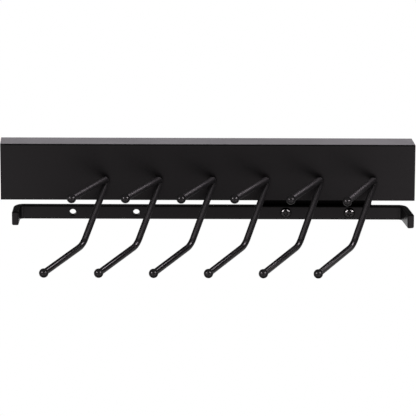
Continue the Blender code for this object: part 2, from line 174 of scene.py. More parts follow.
class Wiring:
    """Short hand for adding and joining shader nodes in one tree."""

    def __init__(self, tree: bpy.types.NodeTree, grouped: bool = False) -> None:
        """Take the tree to work in.

        Args:
            tree: Node tree of a material, a world or a group.
            grouped: Whether it is a group, with inputs and outputs of its own.
        """
        self.tree = tree
        self.source = tree.nodes.new("NodeGroupInput") if grouped else None
        self.drain = tree.nodes.new("NodeGroupOutput") if grouped else None

    def take(self, name: str) -> Plug:
        """One of the group's inputs."""
        return self.source.outputs[name]

    def give(self, name: str, value: Plug) -> None:
        """Put a value out of the group."""
        self.tree.links.new(value, self.drain.inputs[name])

    def join(self, socket: Plug, value: Feed) -> None:
        """Link an input to another node's output, or set its value.

        Args:
            socket: Input of a node.
            value: The output, or a plain value.
        """
        if isinstance(value, Plug):
            self.tree.links.new(value, socket)
        else:
            socket.default_value = value

    def add(self, kind: str, inputs: dict[str | int, Feed] | None = None, **settings: object) -> Node:
        """Add a node.

        Args:
            kind: Blender's name of the node type.
            inputs: Values or outputs for the node's inputs, by name or index.
            settings: Properties of the node itself.

        Returns:
            The new node.
        """
        node = self.tree.nodes.new(kind)
        for key, value in settings.items():
            setattr(node, key, value)
        for key, value in (inputs or {}).items():
            self.join(node.inputs[key], value)
        return node

    def feed(self, node: Node, **values: Feed) -> None:
        """Set or join a node's inputs, with underscores for the spaces in their names."""
        for name, value in values.items():
            self.join(node.inputs[name.replace("_", " ")], value)

    def math(self, operation: str, *values: Feed, clamp: bool = False) -> Plug:
        """Add a Math node and return its result."""
        node = self.add("ShaderNodeMath", dict(enumerate(values)), operation=operation, use_clamp=clamp)
        return node.outputs[0]

    def times(self, one: Feed, two: Feed) -> Plug:
        """Product of two values."""
        return self.math("MULTIPLY", one, two)

    def noise(self, vector: Plug, scale: Feed, detail: float = 2.0, roughness: float = 0.5) -> Plug:
        """Add a noise and return its value.

        Args:
            vector: Where it is read.
            scale: Its cells to the metre.
            detail: How many finer layers it has.
            roughness: How strong the finer layers are.

        Returns:
            The value, about 0 to 1.
        """
        node = self.add("ShaderNodeTexNoise")
        self.feed(node, Vector=vector, Scale=scale, Detail=detail, Roughness=roughness)
        return node.outputs["Fac"]

    def ramp(self, value: Plug, low: Feed, high: Feed, out: Point = (0.0, 1.0)) -> Plug:
        """Map a value smoothly from one range to another.

        Args:
            value: The value.
            low: Where the ramp starts.
            high: Where it ends.
            out: What it gives at its start and its end.

        Returns:
            The value on the ramp.
        """
        node = self.add("ShaderNodeMapRange", interpolation_type="SMOOTHSTEP")
        self.feed(node, Value=value, From_Min=low, From_Max=high, To_Min=out[0], To_Max=out[1])
        return node.outputs["Result"]

    def blend(self, share: Feed, one: Plug | Colour, two: Plug | Colour) -> Plug:
        """Mix two colours.

        Args:
            share: How much of the second there is.
            one: The first colour.
            two: The second colour.

        Returns:
            The mix.
        """
        node = self.add("ShaderNodeMix", data_type="RGBA")
        sockets = {socket.identifier: socket for socket in node.inputs}
        self.join(sockets["Factor_Float"], share)
        for key, colour in (("A_Color", one), ("B_Color", two)):
            self.join(sockets[key], (*colour, 1.0) if isinstance(colour, tuple) else colour)
        return next(socket for socket in node.outputs if socket.identifier == "Result_Color")

    def effect(self, effect: Effect, **inputs: Feed) -> Node:
        """Place an effect's group with its own values.

        Args:
            effect: The effect.
            inputs: Values or outputs for the group's inputs, by name.

        Returns:
            The group's node.
        """
        node = self.add("ShaderNodeGroup", node_tree=effect.tree())
        self.feed(node, **inputs)
        return node

    def bump(self, height: Plug, strength: float, depth: float) -> Plug:
        """Return a normal that follows a height, with its depth in metres."""
        node = self.add("ShaderNodeBump", {"Strength": strength, "Distance": depth, "Height": height})
        return node.outputs["Normal"]


class CoatGrain(Effect):
    """Orange peel of a baked coat, and its slow drift in tone."""

    name = "coat_grain"
    inputs = (VECTOR, Socket("Scale", value=700.0))
    outputs = (Socket("Height"), Socket("Tone"))
    drift_scale = 0.045
    drift_range = (0.3, 0.7)

    def wire(self, net: Wiring) -> None:
        """Lay a fine and a slow noise.

        Args:
            net: Wiring of the group.
        """
        vector, scale = net.take("Vector"), net.take("Scale")
        slow = net.noise(vector, net.times(scale, self.drift_scale), detail=3.0, roughness=0.55)
        net.give("Height", net.noise(vector, scale, detail=2.0, roughness=0.45))
        net.give("Tone", net.ramp(slow, *self.drift_range))


class EdgeWear(Effect):
    """Thin broken line along edges, where hands and hangers rub."""

    name = "edge_wear"
    inputs = (VECTOR, Socket("Width", value=0.0006), Socket("Breakup", value=260.0))
    outputs = (Socket("Mask"),)
    rays = 4
    turn_range = (0.985, 0.86)
    patch_range = (0.42, 0.66)

    def wire(self, net: Wiring) -> None:
        """Compare the rounded normal with the true one, and break it up.

        Args:
            net: Wiring of the group.
        """
        rounded = net.add("ShaderNodeBevel", {"Radius": net.take("Width")}, samples=self.rays)
        normals = {0: rounded.outputs["Normal"], 1: net.add("ShaderNodeNewGeometry").outputs["Normal"]}
        turn = net.add("ShaderNodeVectorMath", normals, operation="DOT_PRODUCT").outputs["Value"]
        patch = net.noise(net.take("Vector"), net.take("Breakup"), detail=4.0, roughness=0.6)
        edge, broken = net.ramp(turn, *self.turn_range), net.ramp(patch, *self.patch_range)
        net.give("Mask", net.times(edge, broken))


class SettledDust(Effect):
    """Faint dust on faces that look up."""

    name = "settled_dust"
    inputs = (VECTOR, Socket("Scale", value=420.0))
    outputs = (Socket("Mask"),)
    patch_scale = 0.06
    speck_range = (0.48, 0.72)
    patch_range = (0.35, 0.7)
    up_range = (0.45, 0.95)

    def wire(self, net: Wiring) -> None:
        """Weigh two noises by the upward share of the normal.

        Args:
            net: Wiring of the group.
        """
        vector, scale = net.take("Vector"), net.take("Scale")
        normal = net.add("ShaderNodeNewGeometry").outputs["Normal"]
        up = net.add("ShaderNodeSeparateXYZ", {0: normal}).outputs["Z"]
        speck = net.noise(vector, scale, detail=5.0, roughness=0.7)
        patch = net.noise(vector, net.times(scale, self.patch_scale))
        dust = net.times(net.ramp(speck, *self.speck_range), net.ramp(patch, *self.patch_range))
        net.give("Mask", net.times(dust, net.ramp(up, *self.up_range)))


class RubMarks(Effect):
    """Hair-fine rub marks drawn out along one axis."""

    name = "rub_marks"
    inputs = (VECTOR, Socket("Scale", value=900.0), Socket("Stretch", value=0.03))
    outputs = (Socket("Mask"), Socket("Height"))
    crest_range = (0.56, 0.74)

    def wire(self, net: Wiring) -> None:
        """Stretch a noise along X and keep its crests.

        Args:
            net: Wiring of the group.
        """
        parts = net.add("ShaderNodeSeparateXYZ", {0: net.take("Vector")}).outputs
        drawn = net.times(parts["X"], net.take("Stretch"))
        vector = net.add("ShaderNodeCombineXYZ", {"X": drawn, "Y": parts["Y"], "Z": parts["Z"]}).outputs[0]
        lines = net.noise(vector, net.take("Scale"), detail=3.0, roughness=0.6)
        net.give("Mask", net.ramp(lines, *self.crest_range))
        net.give("Height", lines)


class Burnish(Effect):
    """Polish that grows towards the foot of a piece, where ties rub it."""

    name = "burnish"
    inputs = (VECTOR, Socket("Top"), Socket("Foot"))
    outputs = (Socket("Mask"),)
    cloud_scale = 90.0
    cloud_height = 8.0 * MM

    def wire(self, net: Wiring) -> None:
        """Ramp down the height, with a cloudy edge.

        Args:
            net: Wiring of the group.
        """
        vector = net.take("Vector")
        cloud = net.noise(vector, self.cloud_scale, detail=3.0)
        height = net.add("ShaderNodeSeparateXYZ", {0: vector}).outputs["Z"]
        height = net.math("ADD", height, net.times(cloud, self.cloud_height))
        net.give("Mask", net.ramp(height, net.take("Top"), net.take("Foot")))


class PlatingBloom(Effect):
    """Cloudy crystal patches of zinc plating."""

    name = "plating_bloom"
    inputs = (VECTOR, Socket("Scale", value=160.0))
    outputs = (Socket("Tone"),)
    cloud_scale = 0.3
    cell_share = 0.45
    cloud_share = 0.55

    def wire(self, net: Wiring) -> None:
        """Blend flat cells with a soft noise.

        Args:
            net: Wiring of the group.
        """
        vector, scale = net.take("Vector"), net.take("Scale")
        cells = net.add("ShaderNodeTexVoronoi", {"Vector": vector, "Scale": scale}).outputs["Color"]
        grey = net.add("ShaderNodeSeparateColor", {0: cells}).outputs[0]
        cloud = net.noise(vector, net.times(scale, self.cloud_scale), detail=3.0)
        crystals = net.times(grey, self.cell_share)
        net.give("Tone", net.math("ADD", crystals, net.times(cloud, self.cloud_share)))


# Finishes


@dataclass(frozen=True)
class Finish:
    """Surface treatment of a piece: its name, its slot in the record and its colour."""

    name: str
    slot: str
    colour: Colour

    def material(self) -> bpy.types.Material:
        """Return the finish's material, building it on first use.

        Returns:
            The material, which all pieces of this finish share.
        """
        found = bpy.data.materials.get(self.name)
        if found is not None:
            return found
        made = bpy.data.materials.new(self.name)
        made.use_nodes = True
        made.diffuse_color = (*self.colour, 1.0)
        net = Wiring(made.node_tree)
        shader = made.node_tree.nodes["Principled BSDF"]
        self.dress(net, shader, net.add("ShaderNodeTexCoord").outputs["Object"])
        return made

    def dress(self, net: Wiring, shader: Node, where: Plug) -> None:
        """Lay the finish's nodes round its shader."""
        raise NotImplementedError

    def shade(self, share: float, lift: float = 0.0) -> Colour:
        """The finish's colour, darker or lighter."""
        return tuple(min(1.0, part * share + lift) for part in self.colour)


@dataclass(frozen=True)
class BakedCoat(Finish):
    """Satin black baked coat on sheet, bar or rod."""

    roughness: float = 0.36
    grain: float = 700.0
    peel: float = 0.012 * MM
    wear: float = 0.25
    dust: float = 0.01
    sheen: float = 0.5
    polish: float = 0.0
    polished: Point = (-56.0 * MM, -77.0 * MM)
    drift_share: float = 0.82
    worn_share: float = 4.0
    worn_lift: float = 0.008
    dust_colour: Colour = (0.32, 0.31, 0.3)
    gloss_drift: float = 0.012
    rub_dulls: float = 0.05
    edge_shines: float = 0.12
    dust_dulls: float = 0.6
    peel_strength: float = 0.35
    ior: float = 1.5

    def dress(self, net: Wiring, shader: Node, where: Plug) -> None:
        """Coat with orange peel, rubbed edges and a little dust on top.

        Args:
            net: Wiring of the material.
            shader: Its Principled node.
            where: Object coordinates.
        """
        grain = net.effect(CoatGrain(), Vector=where, Scale=self.grain).outputs
        edge = net.times(net.effect(EdgeWear(), Vector=where).outputs["Mask"], self.wear)
        dust = net.times(net.effect(SettledDust(), Vector=where).outputs["Mask"], self.dust)
        rub = net.effect(RubMarks(), Vector=where).outputs["Mask"]
        tone = net.blend(grain["Tone"], self.shade(self.drift_share), self.colour)
        tone = net.blend(edge, tone, self.shade(self.worn_share, self.worn_lift))
        tone = net.blend(dust, tone, self.dust_colour)
        spread = (self.roughness - self.gloss_drift, self.roughness + self.gloss_drift)
        gloss = net.ramp(grain["Tone"], 0.0, 1.0, spread)
        gloss = net.math("ADD", gloss, net.times(rub, self.rub_dulls))
        gloss = net.math("SUBTRACT", gloss, net.times(edge, self.edge_shines))
        gloss = net.math("ADD", gloss, net.times(dust, self.dust_dulls), clamp=True)
        if self.polish:
            top, foot = self.polished
            smooth = net.effect(Burnish(), Vector=where, Top=top, Foot=foot).outputs["Mask"]
            gloss = net.math("SUBTRACT", gloss, net.times(smooth, self.polish), clamp=True)
        normal = net.bump(grain["Height"], self.peel_strength, self.peel)
        net.feed(shader, Base_Color=tone, Roughness=gloss, Normal=normal, IOR=self.ior, Specular_Tint=WARM,
                 Specular_IOR_Level=self.sheen)


@dataclass(frozen=True)
class GlossCap(Finish):
    """Smooth moulded ball cap."""

    grain: float = 520.0
    drift_share: float = 0.8
    gloss: Point = (0.24, 0.3)
    rub_scale: float = 1500.0
    rub_stretch: float = 0.2
    rub_dulls: float = 0.09
    peel: float = 0.006 * MM
    peel_strength: float = 0.15
    ior: float = 1.52

    def dress(self, net: Wiring, shader: Node, where: Plug) -> None:
        """Gloss with a slow drift and hair-fine rub marks.

        Args:
            net: Wiring of the material.
            shader: Its Principled node.
            where: Object coordinates.
        """
        grain = net.effect(CoatGrain(), Vector=where, Scale=self.grain).outputs
        rub = net.effect(RubMarks(), Vector=where, Scale=self.rub_scale, Stretch=self.rub_stretch)
        tone = net.blend(grain["Tone"], self.shade(self.drift_share), self.colour)
        gloss = net.ramp(grain["Tone"], 0.0, 1.0, self.gloss)
        gloss = net.math("ADD", gloss, net.times(rub.outputs["Mask"], self.rub_dulls), clamp=True)
        normal = net.bump(grain["Height"], self.peel_strength, self.peel)
        net.feed(shader, Base_Color=tone, Roughness=gloss, Normal=normal, IOR=self.ior, Specular_Tint=WARM)


@dataclass(frozen=True)
class Plating(Finish):
    """Plated metal, bright or black."""

    roughness: float = 0.3
    bloom: float = 0.3
    drawn: float = 0.4
    bloom_range: Point = (0.1, 0.9)
    bloom_gloss: Point = (0.06, -0.05)
    line_scale: float = 1400.0
    line_stretch: float = 0.012
    line_dulls: float = 0.12
    line_strength: float = 0.25
    line_depth: float = 0.01 * MM
    edge_width: float = 0.4 * MM
    wear: float = 0.4
    worn_share: float = 1.5
    worn_lift: float = 0.03

    def dress(self, net: Wiring, shader: Node, where: Plug) -> None:
        """Metal with cloudy plating, drawing lines and rubbed edges.

        Args:
            net: Wiring of the material.
            shader: Its Principled node.
            where: Object coordinates.
        """
        cloud = net.effect(PlatingBloom(), Vector=where).outputs["Tone"]
        lines = net.effect(RubMarks(), Vector=where, Scale=self.line_scale, Stretch=self.line_stretch).outputs
        edge = net.effect(EdgeWear(), Vector=where, Width=self.edge_width).outputs["Mask"]
        tone = net.blend(cloud, self.shade(1.0 - self.bloom), self.colour)
        worn = self.shade(self.worn_share, self.worn_lift)
        tone = net.blend(net.times(edge, self.wear), tone, worn)
        spread = (self.roughness + self.bloom_gloss[0], self.roughness + self.bloom_gloss[1])
        gloss = net.ramp(cloud, *self.bloom_range, spread)
        dulled = net.times(lines["Mask"], self.line_dulls * self.drawn)
        gloss = net.math("ADD", gloss, dulled, clamp=True)
        normal = net.bump(lines["Height"], self.line_strength * self.drawn, self.line_depth)
        net.feed(shader, Base_Color=tone, Roughness=gloss, Normal=normal, Metallic=1.0)


@dataclass(frozen=True)
class Moulded(Finish):
    """Matt moulded material: nylon or rubber."""

    roughness: float = 0.5
    grain: float = 900.0
    dust: float = 0.2
    dust_colour: Colour = (0.4, 0.39, 0.37)
    smear: Colour = (0.3, 0.28, 0.24)
    smear_share: float = 0.12
    rub_scale: float = 700.0
    rub_stretch: float = 0.3
    drift_share: float = 0.86
    drift_gloss: Point = (-0.05, 0.06)
    grain_strength: float = 0.4
    grain_depth: float = 0.015 * MM
    ior: float = 1.5

    def dress(self, net: Wiring, shader: Node, where: Plug) -> None:
        """Fine grain, a drift in tone and dirt that settles on top.

        Args:
            net: Wiring of the material.
            shader: Its Principled node.
            where: Object coordinates.
        """
        grain = net.effect(CoatGrain(), Vector=where, Scale=self.grain).outputs
        dust = net.times(net.effect(SettledDust(), Vector=where).outputs["Mask"], self.dust)
        rub = net.effect(RubMarks(), Vector=where, Scale=self.rub_scale, Stretch=self.rub_stretch)
        tone = net.blend(grain["Tone"], self.shade(self.drift_share), self.colour)
        tone = net.blend(net.times(rub.outputs["Mask"], self.smear_share), tone, self.smear)
        tone = net.blend(dust, tone, self.dust_colour)
        spread = (self.roughness + self.drift_gloss[0], self.roughness + self.drift_gloss[1])
        gloss = net.ramp(grain["Tone"], 0.0, 1.0, spread)
        normal = net.bump(grain["Height"], self.grain_strength, self.grain_depth)
        net.feed(shader, Base_Color=tone, Roughness=gloss, Normal=normal, IOR=self.ior)


COAT_BLACK = (0.0050, 0.0046, 0.0048)
SHEET_COAT = BakedCoat("satin_black_sheet", "black_coat", COAT_BLACK, roughness=0.34)
BAR_COAT = BakedCoat("satin_black_bar", "black_coat", COAT_BLACK, roughness=0.36, grain=800.0, wear=0.12)
# The carrier plate is black, but this copy of the black coat is made darker and duller than the sheet's. It
# is painted shade for the plate where it shows in the gap between housing and bar.
PLATE_COAT_PAINTED_SHADE = BakedCoat("matt_black_plate_painted_shade", "black_coat", (0.002, 0.0018, 0.0019),
                       roughness=0.65, wear=0.15, sheen=0.12)
ROD_COAT = BakedCoat("satin_black_rod", "rod_coat", (0.012, 0.0110, 0.0119),
                     roughness=0.45, polish=0.32, grain=900.0, peel=0.004 * MM, wear=0.1)
WELD_COAT = BakedCoat("black_over_weld", "black_coat", (0.0045, 0.0042, 0.0043),
                      roughness=0.4, grain=1500.0, peel=0.03 * MM, wear=0.0)
CAP_GLOSS = GlossCap("gloss_black_cap", "ball_cap", (0.012, 0.0113, 0.0117))
BLACK_ZINC = Plating("black_zinc_screw", "black_zinc", (0.1, 0.093, 0.095),
                     roughness=0.12, bloom=0.25, drawn=0.2)
BRIGHT_ZINC = Plating("zinc_track", "zinc_plate", (0.56, 0.57, 0.59),
                      roughness=0.34, bloom=0.35, drawn=1.0)
BRIGHT_STEEL = Plating("bright_steel_pin", "bright_steel", (0.64, 0.64, 0.65),
                       roughness=0.24, bloom=0.12, drawn=0.6)
NYLON = Moulded("natural_nylon", "nylon", (0.72, 0.70, 0.63), roughness=0.44)
RUBBER = Moulded("black_rubber", "rubber", (0.022, 0.022, 0.022),
                 roughness=0.74, grain=1300.0, smear=(0.06, 0.06, 0.06))


# Modelling steps


def left_of(heading: Vector) -> Vector:
    """Flat heading turned a quarter to the left."""
    return Vector((-heading.y, heading.x))


def turning_at(x: float, y: float, z: float) -> Matrix:
    """Place whose local Z runs along +Y from a point, for turned pieces."""
    return Matrix.Translation((x, y, z)) @ Matrix.Rotation(-QUARTER, 4, "X")


def aimed(spot: Vector, heading: Vector) -> Matrix:
    """Place at a point whose local Z runs along a heading."""
    return Matrix.Translation(spot) @ heading.to_track_quat("Z", "Y").to_matrix().to_4x4()


def middle_of(node: str) -> Vector:
    """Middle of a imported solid's box."""
    low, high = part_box(node)
    return (low + high) / 2


def ends_of(items: Iterable[object]) -> list[bmesh.types.BMVert]:
    """Vertices among an operator's results."""
    return [item for item in items if isinstance(item, bmesh.types.BMVert)]


def edges_of(items: Iterable[object]) -> list[bmesh.types.BMEdge]:
    """Edges among an operator's results."""
    return [item for item in items if isinstance(item, bmesh.types.BMEdge)]


def round_edges(bm: Mesh, edges: Iterable[bmesh.types.BMEdge], width: float, segments: int = 3) -> None:
    """Round some edges of a mesh."""
    bmesh.ops.bevel(bm, geom=list(edges), offset=width, offset_type="OFFSET", affect="EDGES",
                    segments=segments, profile=0.5, material=-1, clamp_overlap=True)


def round_corners(bm: Mesh, verts: Iterable[bmesh.types.BMVert], width: float, segments: int = 3) -> None:
    """Round some corners of a flat outline."""
    bmesh.ops.bevel(bm, geom=list(verts), offset=width, offset_type="OFFSET", affect="VERTICES",
                    segments=segments, profile=0.5, material=-1, clamp_overlap=True)


def sharp_edges(bm: Mesh, angle: float = SMOOTH) -> list[bmesh.types.BMEdge]:
    """Edges between two faces that meet at more than an angle."""
    bm.normal_update()
    return [e for e in bm.edges if len(e.link_faces) == 2 and e.calc_face_angle(0.0) > angle]


def settle(bm: Mesh) -> None:
    """Merge doubles and turn the faces of a closed mesh outwards.

    Args:
        bm: The mesh.
    """
    bmesh.ops.remove_doubles(bm, verts=bm.verts, dist=DOUBLES)
    bmesh.ops.recalc_face_normals(bm, faces=bm.faces)
    if bm.calc_volume(signed=True) < 0:
        bmesh.ops.reverse_faces(bm, faces=bm.faces)


def turned(profile: Sequence[Point], stand: Matrix, segments: int, fillet: float = 0.0,
           closed: bool = False) -> Mesh:
    """Turn a body about its local Z.

    Args:
        profile: Radius and height of each corner.
        stand: Where the body goes.
        segments: Steps round the axis.
        fillet: Radius that the profile's corners off the axis get.
        closed: Whether the profile is a ring.

    Returns:
        The closed body.
    """
    bm = bmesh.new()
    verts = [bm.verts.new((r, 0, h)) for r, h in profile]
    for pair in zip(verts, verts[1:] + verts[:1] if closed else verts[1:]):
        bm.edges.new(pair)
    if fillet:
        round_corners(bm, [v for v in verts if len(v.link_edges) == 2], fillet)
    bmesh.ops.spin(bm, geom=bm.verts[:] + bm.edges[:], cent=(0, 0, 0), axis=(0, 0, 1), angle=2 * math.pi,
                   steps=segments, use_merge=True)
    bmesh.ops.transform(bm, matrix=stand, verts=bm.verts)
    settle(bm)
    return bm


def deepened(bm: Mesh, depth: Spot) -> Mesh:
    """Push a mesh that holds only flat faces along a vector.

    Args:
        bm: The mesh.
        depth: The vector.

    Returns:
        The same mesh as a closed body.
    """
    grown = bmesh.ops.extrude_face_region(bm, geom=bm.faces[:])["geom"]
    bmesh.ops.translate(bm, verts=ends_of(grown), vec=depth)
    settle(bm)
    return bm


def pushed(outline: Sequence[Spot], depth: Spot) -> Mesh:
    """Push a flat outline along a vector.

    Args:
        outline: Corners of the outline.
        depth: The vector.

    Returns:
        The closed body.
    """
    bm = bmesh.new()
    bm.faces.new([bm.verts.new(p) for p in outline])
    return deepened(bm, depth)


def carved(bm: Mesh, cutters: Iterable[Mesh]) -> Mesh:
    """Cut closed shapes out of a closed mesh.

    Args:
        bm: The mesh to cut, which is used up.
        cutters: The shapes, which are used up too.

    Returns:
        The mesh with the shapes cut out.
    """
    helpers = []
    for shape in [bm, *cutters]:
        mesh = bpy.data.meshes.new("helper")
        shape.to_mesh(mesh)
        shape.free()
        helpers.append(bpy.data.objects.new("helper", mesh))
        bpy.context.scene.collection.objects.link(helpers[-1])
    for cutter in helpers[1:]:
        mod = helpers[0].modifiers.new("cut", "BOOLEAN")
        mod.operation, mod.solver, mod.object = "DIFFERENCE", "EXACT", cutter
    graph = bpy.context.evaluated_depsgraph_get()
    done = bmesh.new()
    done.from_object(helpers[0], graph)
    for helper in helpers:
        mesh = helper.data
        bpy.data.objects.remove(helper, do_unlink=True)
        bpy.data.meshes.remove(mesh)
    settle(done)
    return done


def countersunk(x: float, z: float, y: Point, radius: float, rim: float) -> Mesh:
    """Cutter for a round hole along Y whose two rims are broken.

    Args:
        x: Where the hole's axis is.
        z: How high it is.
        y: The two faces that it goes through.
        radius: Radius of the hole.
        rim: How deep the rims are broken.

    Returns:
        The cutter.
    """
    depth = y[1] - y[0]
    wide = radius + 2 * rim
    profile = [(0, -rim), (wide, -rim), (radius, rim),
               (radius, depth - rim), (wide, depth + rim), (0, depth + rim)]
    return turned(profile, turning_at(x, y[0], z), HOLE_SIDES)


def folded(profile: Sequence[Point], span: Point, radius: float, sheet: float, skew: float = 0.0) -> Mesh:
    """Fold a channel of sheet metal that runs along X.

    Args:
        profile: Depth and height of the outer skin's edges and folds.
        span: Where the channel starts and ends.
        radius: Outer radius of the folds.
        sheet: Thickness of the sheet, laid inwards.
        skew: How far the far end is cut back per metre of depth behind the foremost skin.

    Returns:
        The closed channel, with broken cut edges.
    """
    bm = bmesh.new()
    verts = [bm.verts.new((span[0], y, z)) for y, z in profile]
    edges = [bm.edges.new(pair) for pair in zip(verts, verts[1:])]
    grown = bmesh.ops.extrude_edge_only(bm, edges=edges)["geom"]
    bmesh.ops.translate(bm, verts=ends_of(grown), vec=(span[1] - span[0], 0, 0))
    folds = [e for e in bm.edges if len(e.link_faces) == 2]
    round_edges(bm, folds, radius, FOLD_STEPS)
    front = min(y for y, _ in profile)
    for vert in bm.verts:
        if vert.co.x > (span[0] + span[1]) / 2:
            vert.co.x -= skew * (vert.co.y - front)
    bmesh.ops.recalc_face_normals(bm, faces=bm.faces)
    # An open skin's faces may point either way, and the largest one tells which
    middle = sum((Vector(p) for p in profile), Vector((0, 0))) / len(profile)
    face = max(bm.faces, key=lambda f: f.calc_area())
    away = face.calc_center_median().yz - middle
    outward = face.normal.yz.dot(away) > 0
    bmesh.ops.solidify(bm, geom=bm.faces[:], thickness=sheet if outward else -sheet)
    settle(bm)
    round_edges(bm, sharp_edges(bm, CREASE), sheet * EDGE_BREAK, segments=2)
    return bm


@dataclass(frozen=True)
class Bend:
    """One bend of a rod or bar in its own plane."""

    start: Vector
    centre: Vector
    turn: float

    @property
    def finish(self) -> Vector:
        """Where the bend ends."""
        return self.centre + Matrix.Rotation(self.turn, 2) @ (self.start - self.centre)

    @staticmethod
    def along(corners: Sequence[Vector], radii: Sequence[float]) -> list["Bend"]:
        """Bends that round the inner corners of a line.

        Args:
            corners: The line's corners, ends included.
            radii: Radius of each bend.

        Returns:
            The bends in order.
        """
        bends = []
        for before, corner, after, radius in zip(corners, corners[1:], corners[2:], radii):
            inward, outward = (corner - before).normalized(), (after - corner).normalized()
            turn = math.atan2(inward.cross(outward), inward.dot(outward))
            start = corner - inward * (radius * math.tan(abs(turn) / 2))
            bends.append(Bend(start, start + left_of(inward) * math.copysign(radius, turn), turn))
        return bends


class Sweep:
    """A section pushed along straight runs and spun round bends."""

    def __init__(self, bm: Mesh, plane: Plane) -> None:
        """Take a mesh that holds only the section, at the start of the run."""
        self.bm, self.plane = bm, plane
        self.front = bm.edges[:]

    def push(self, step: Vector) -> None:
        """Extend the section by a flat step.

        Args:
            step: The step, in the plane of the run.
        """
        grown = bmesh.ops.extrude_edge_only(self.bm, edges=self.front)["geom"]
        bmesh.ops.translate(self.bm, verts=ends_of(grown), vec=self.plane.lift(step))
        verts = set(ends_of(grown))
        self.front = [e for e in edges_of(grown) if all(v in verts for v in e.verts)]

    def bend(self, bend: Bend, steps: int) -> None:
        """Spin the section round a bend.

        Args:
            bend: The bend.
            steps: How many steps it takes.
        """
        verts = list(dict.fromkeys(v for e in self.front for v in e.verts))
        spun = bmesh.ops.spin(self.bm, geom=verts + self.front, cent=self.plane.lift(bend.centre),
                              axis=self.plane.axis, angle=bend.turn, steps=steps, use_merge=False)
        self.front = edges_of(spun["geom_last"])

    def run(self, one: Vector, two: Vector, pieces: int) -> None:
        """Go straight from one point to another in a few pushes."""
        for _ in range(pieces):
            self.push((two - one) / pieces)

    def follow(self, corners: Sequence[Vector], radii: Sequence[float], steps: int, pieces: int = 1) -> None:
        """Run along a line with rounded corners, and close the end.

        Args:
            corners: The line's corners, ends included.
            radii: Radius at each inner corner.
            steps: Steps round each bend.
            pieces: Pushes along each straight run.
        """
        here = corners[0]
        for bend in Bend.along(corners, radii):
            self.run(here, bend.start, pieces)
            self.bend(bend, steps)
            here = bend.finish
        self.run(here, corners[-1], pieces)
        bmesh.ops.edgeloop_fill(self.bm, edges=self.front)


def place(name: str, bm: Mesh, finish: Finish, body: Body, nodes: Sequence[str] = (),
          flats: bool = False) -> None:
    """Make a finished piece of a mesh that is already where it belongs.

    Args:
        name: The piece's name.
        bm: Its mesh, which is used up.
        finish: Its surface treatment.
        body: The body that it rides on.
        nodes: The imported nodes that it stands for.
        flats: Whether large flat faces keep their own normals beside rounded edges.
    """
    mesh = bpy.data.meshes.new(name)
    bm.to_mesh(mesh)
    bm.free()
    mesh.shade_smooth()
    mesh.set_sharp_from_angle(angle=SMOOTH)
    piece = bpy.data.objects.new(name, mesh)
    bpy.context.scene.collection.objects.link(piece)
    mesh.materials.append(finish.material())
    if flats:
        mod = piece.modifiers.new("flat_faces", "WEIGHTED_NORMAL")
        mod.mode, mod.weight, mod.keep_sharp = "FACE_AREA_WITH_ANGLE", FLAT_WEIGHT, True
    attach(piece, body.value)
    if nodes:
        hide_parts(*nodes)
    LOG.info("%s: %d faces, %s, on %s", name, len(mesh.polygons), finish.name, body.value)


# Sub-assemblies


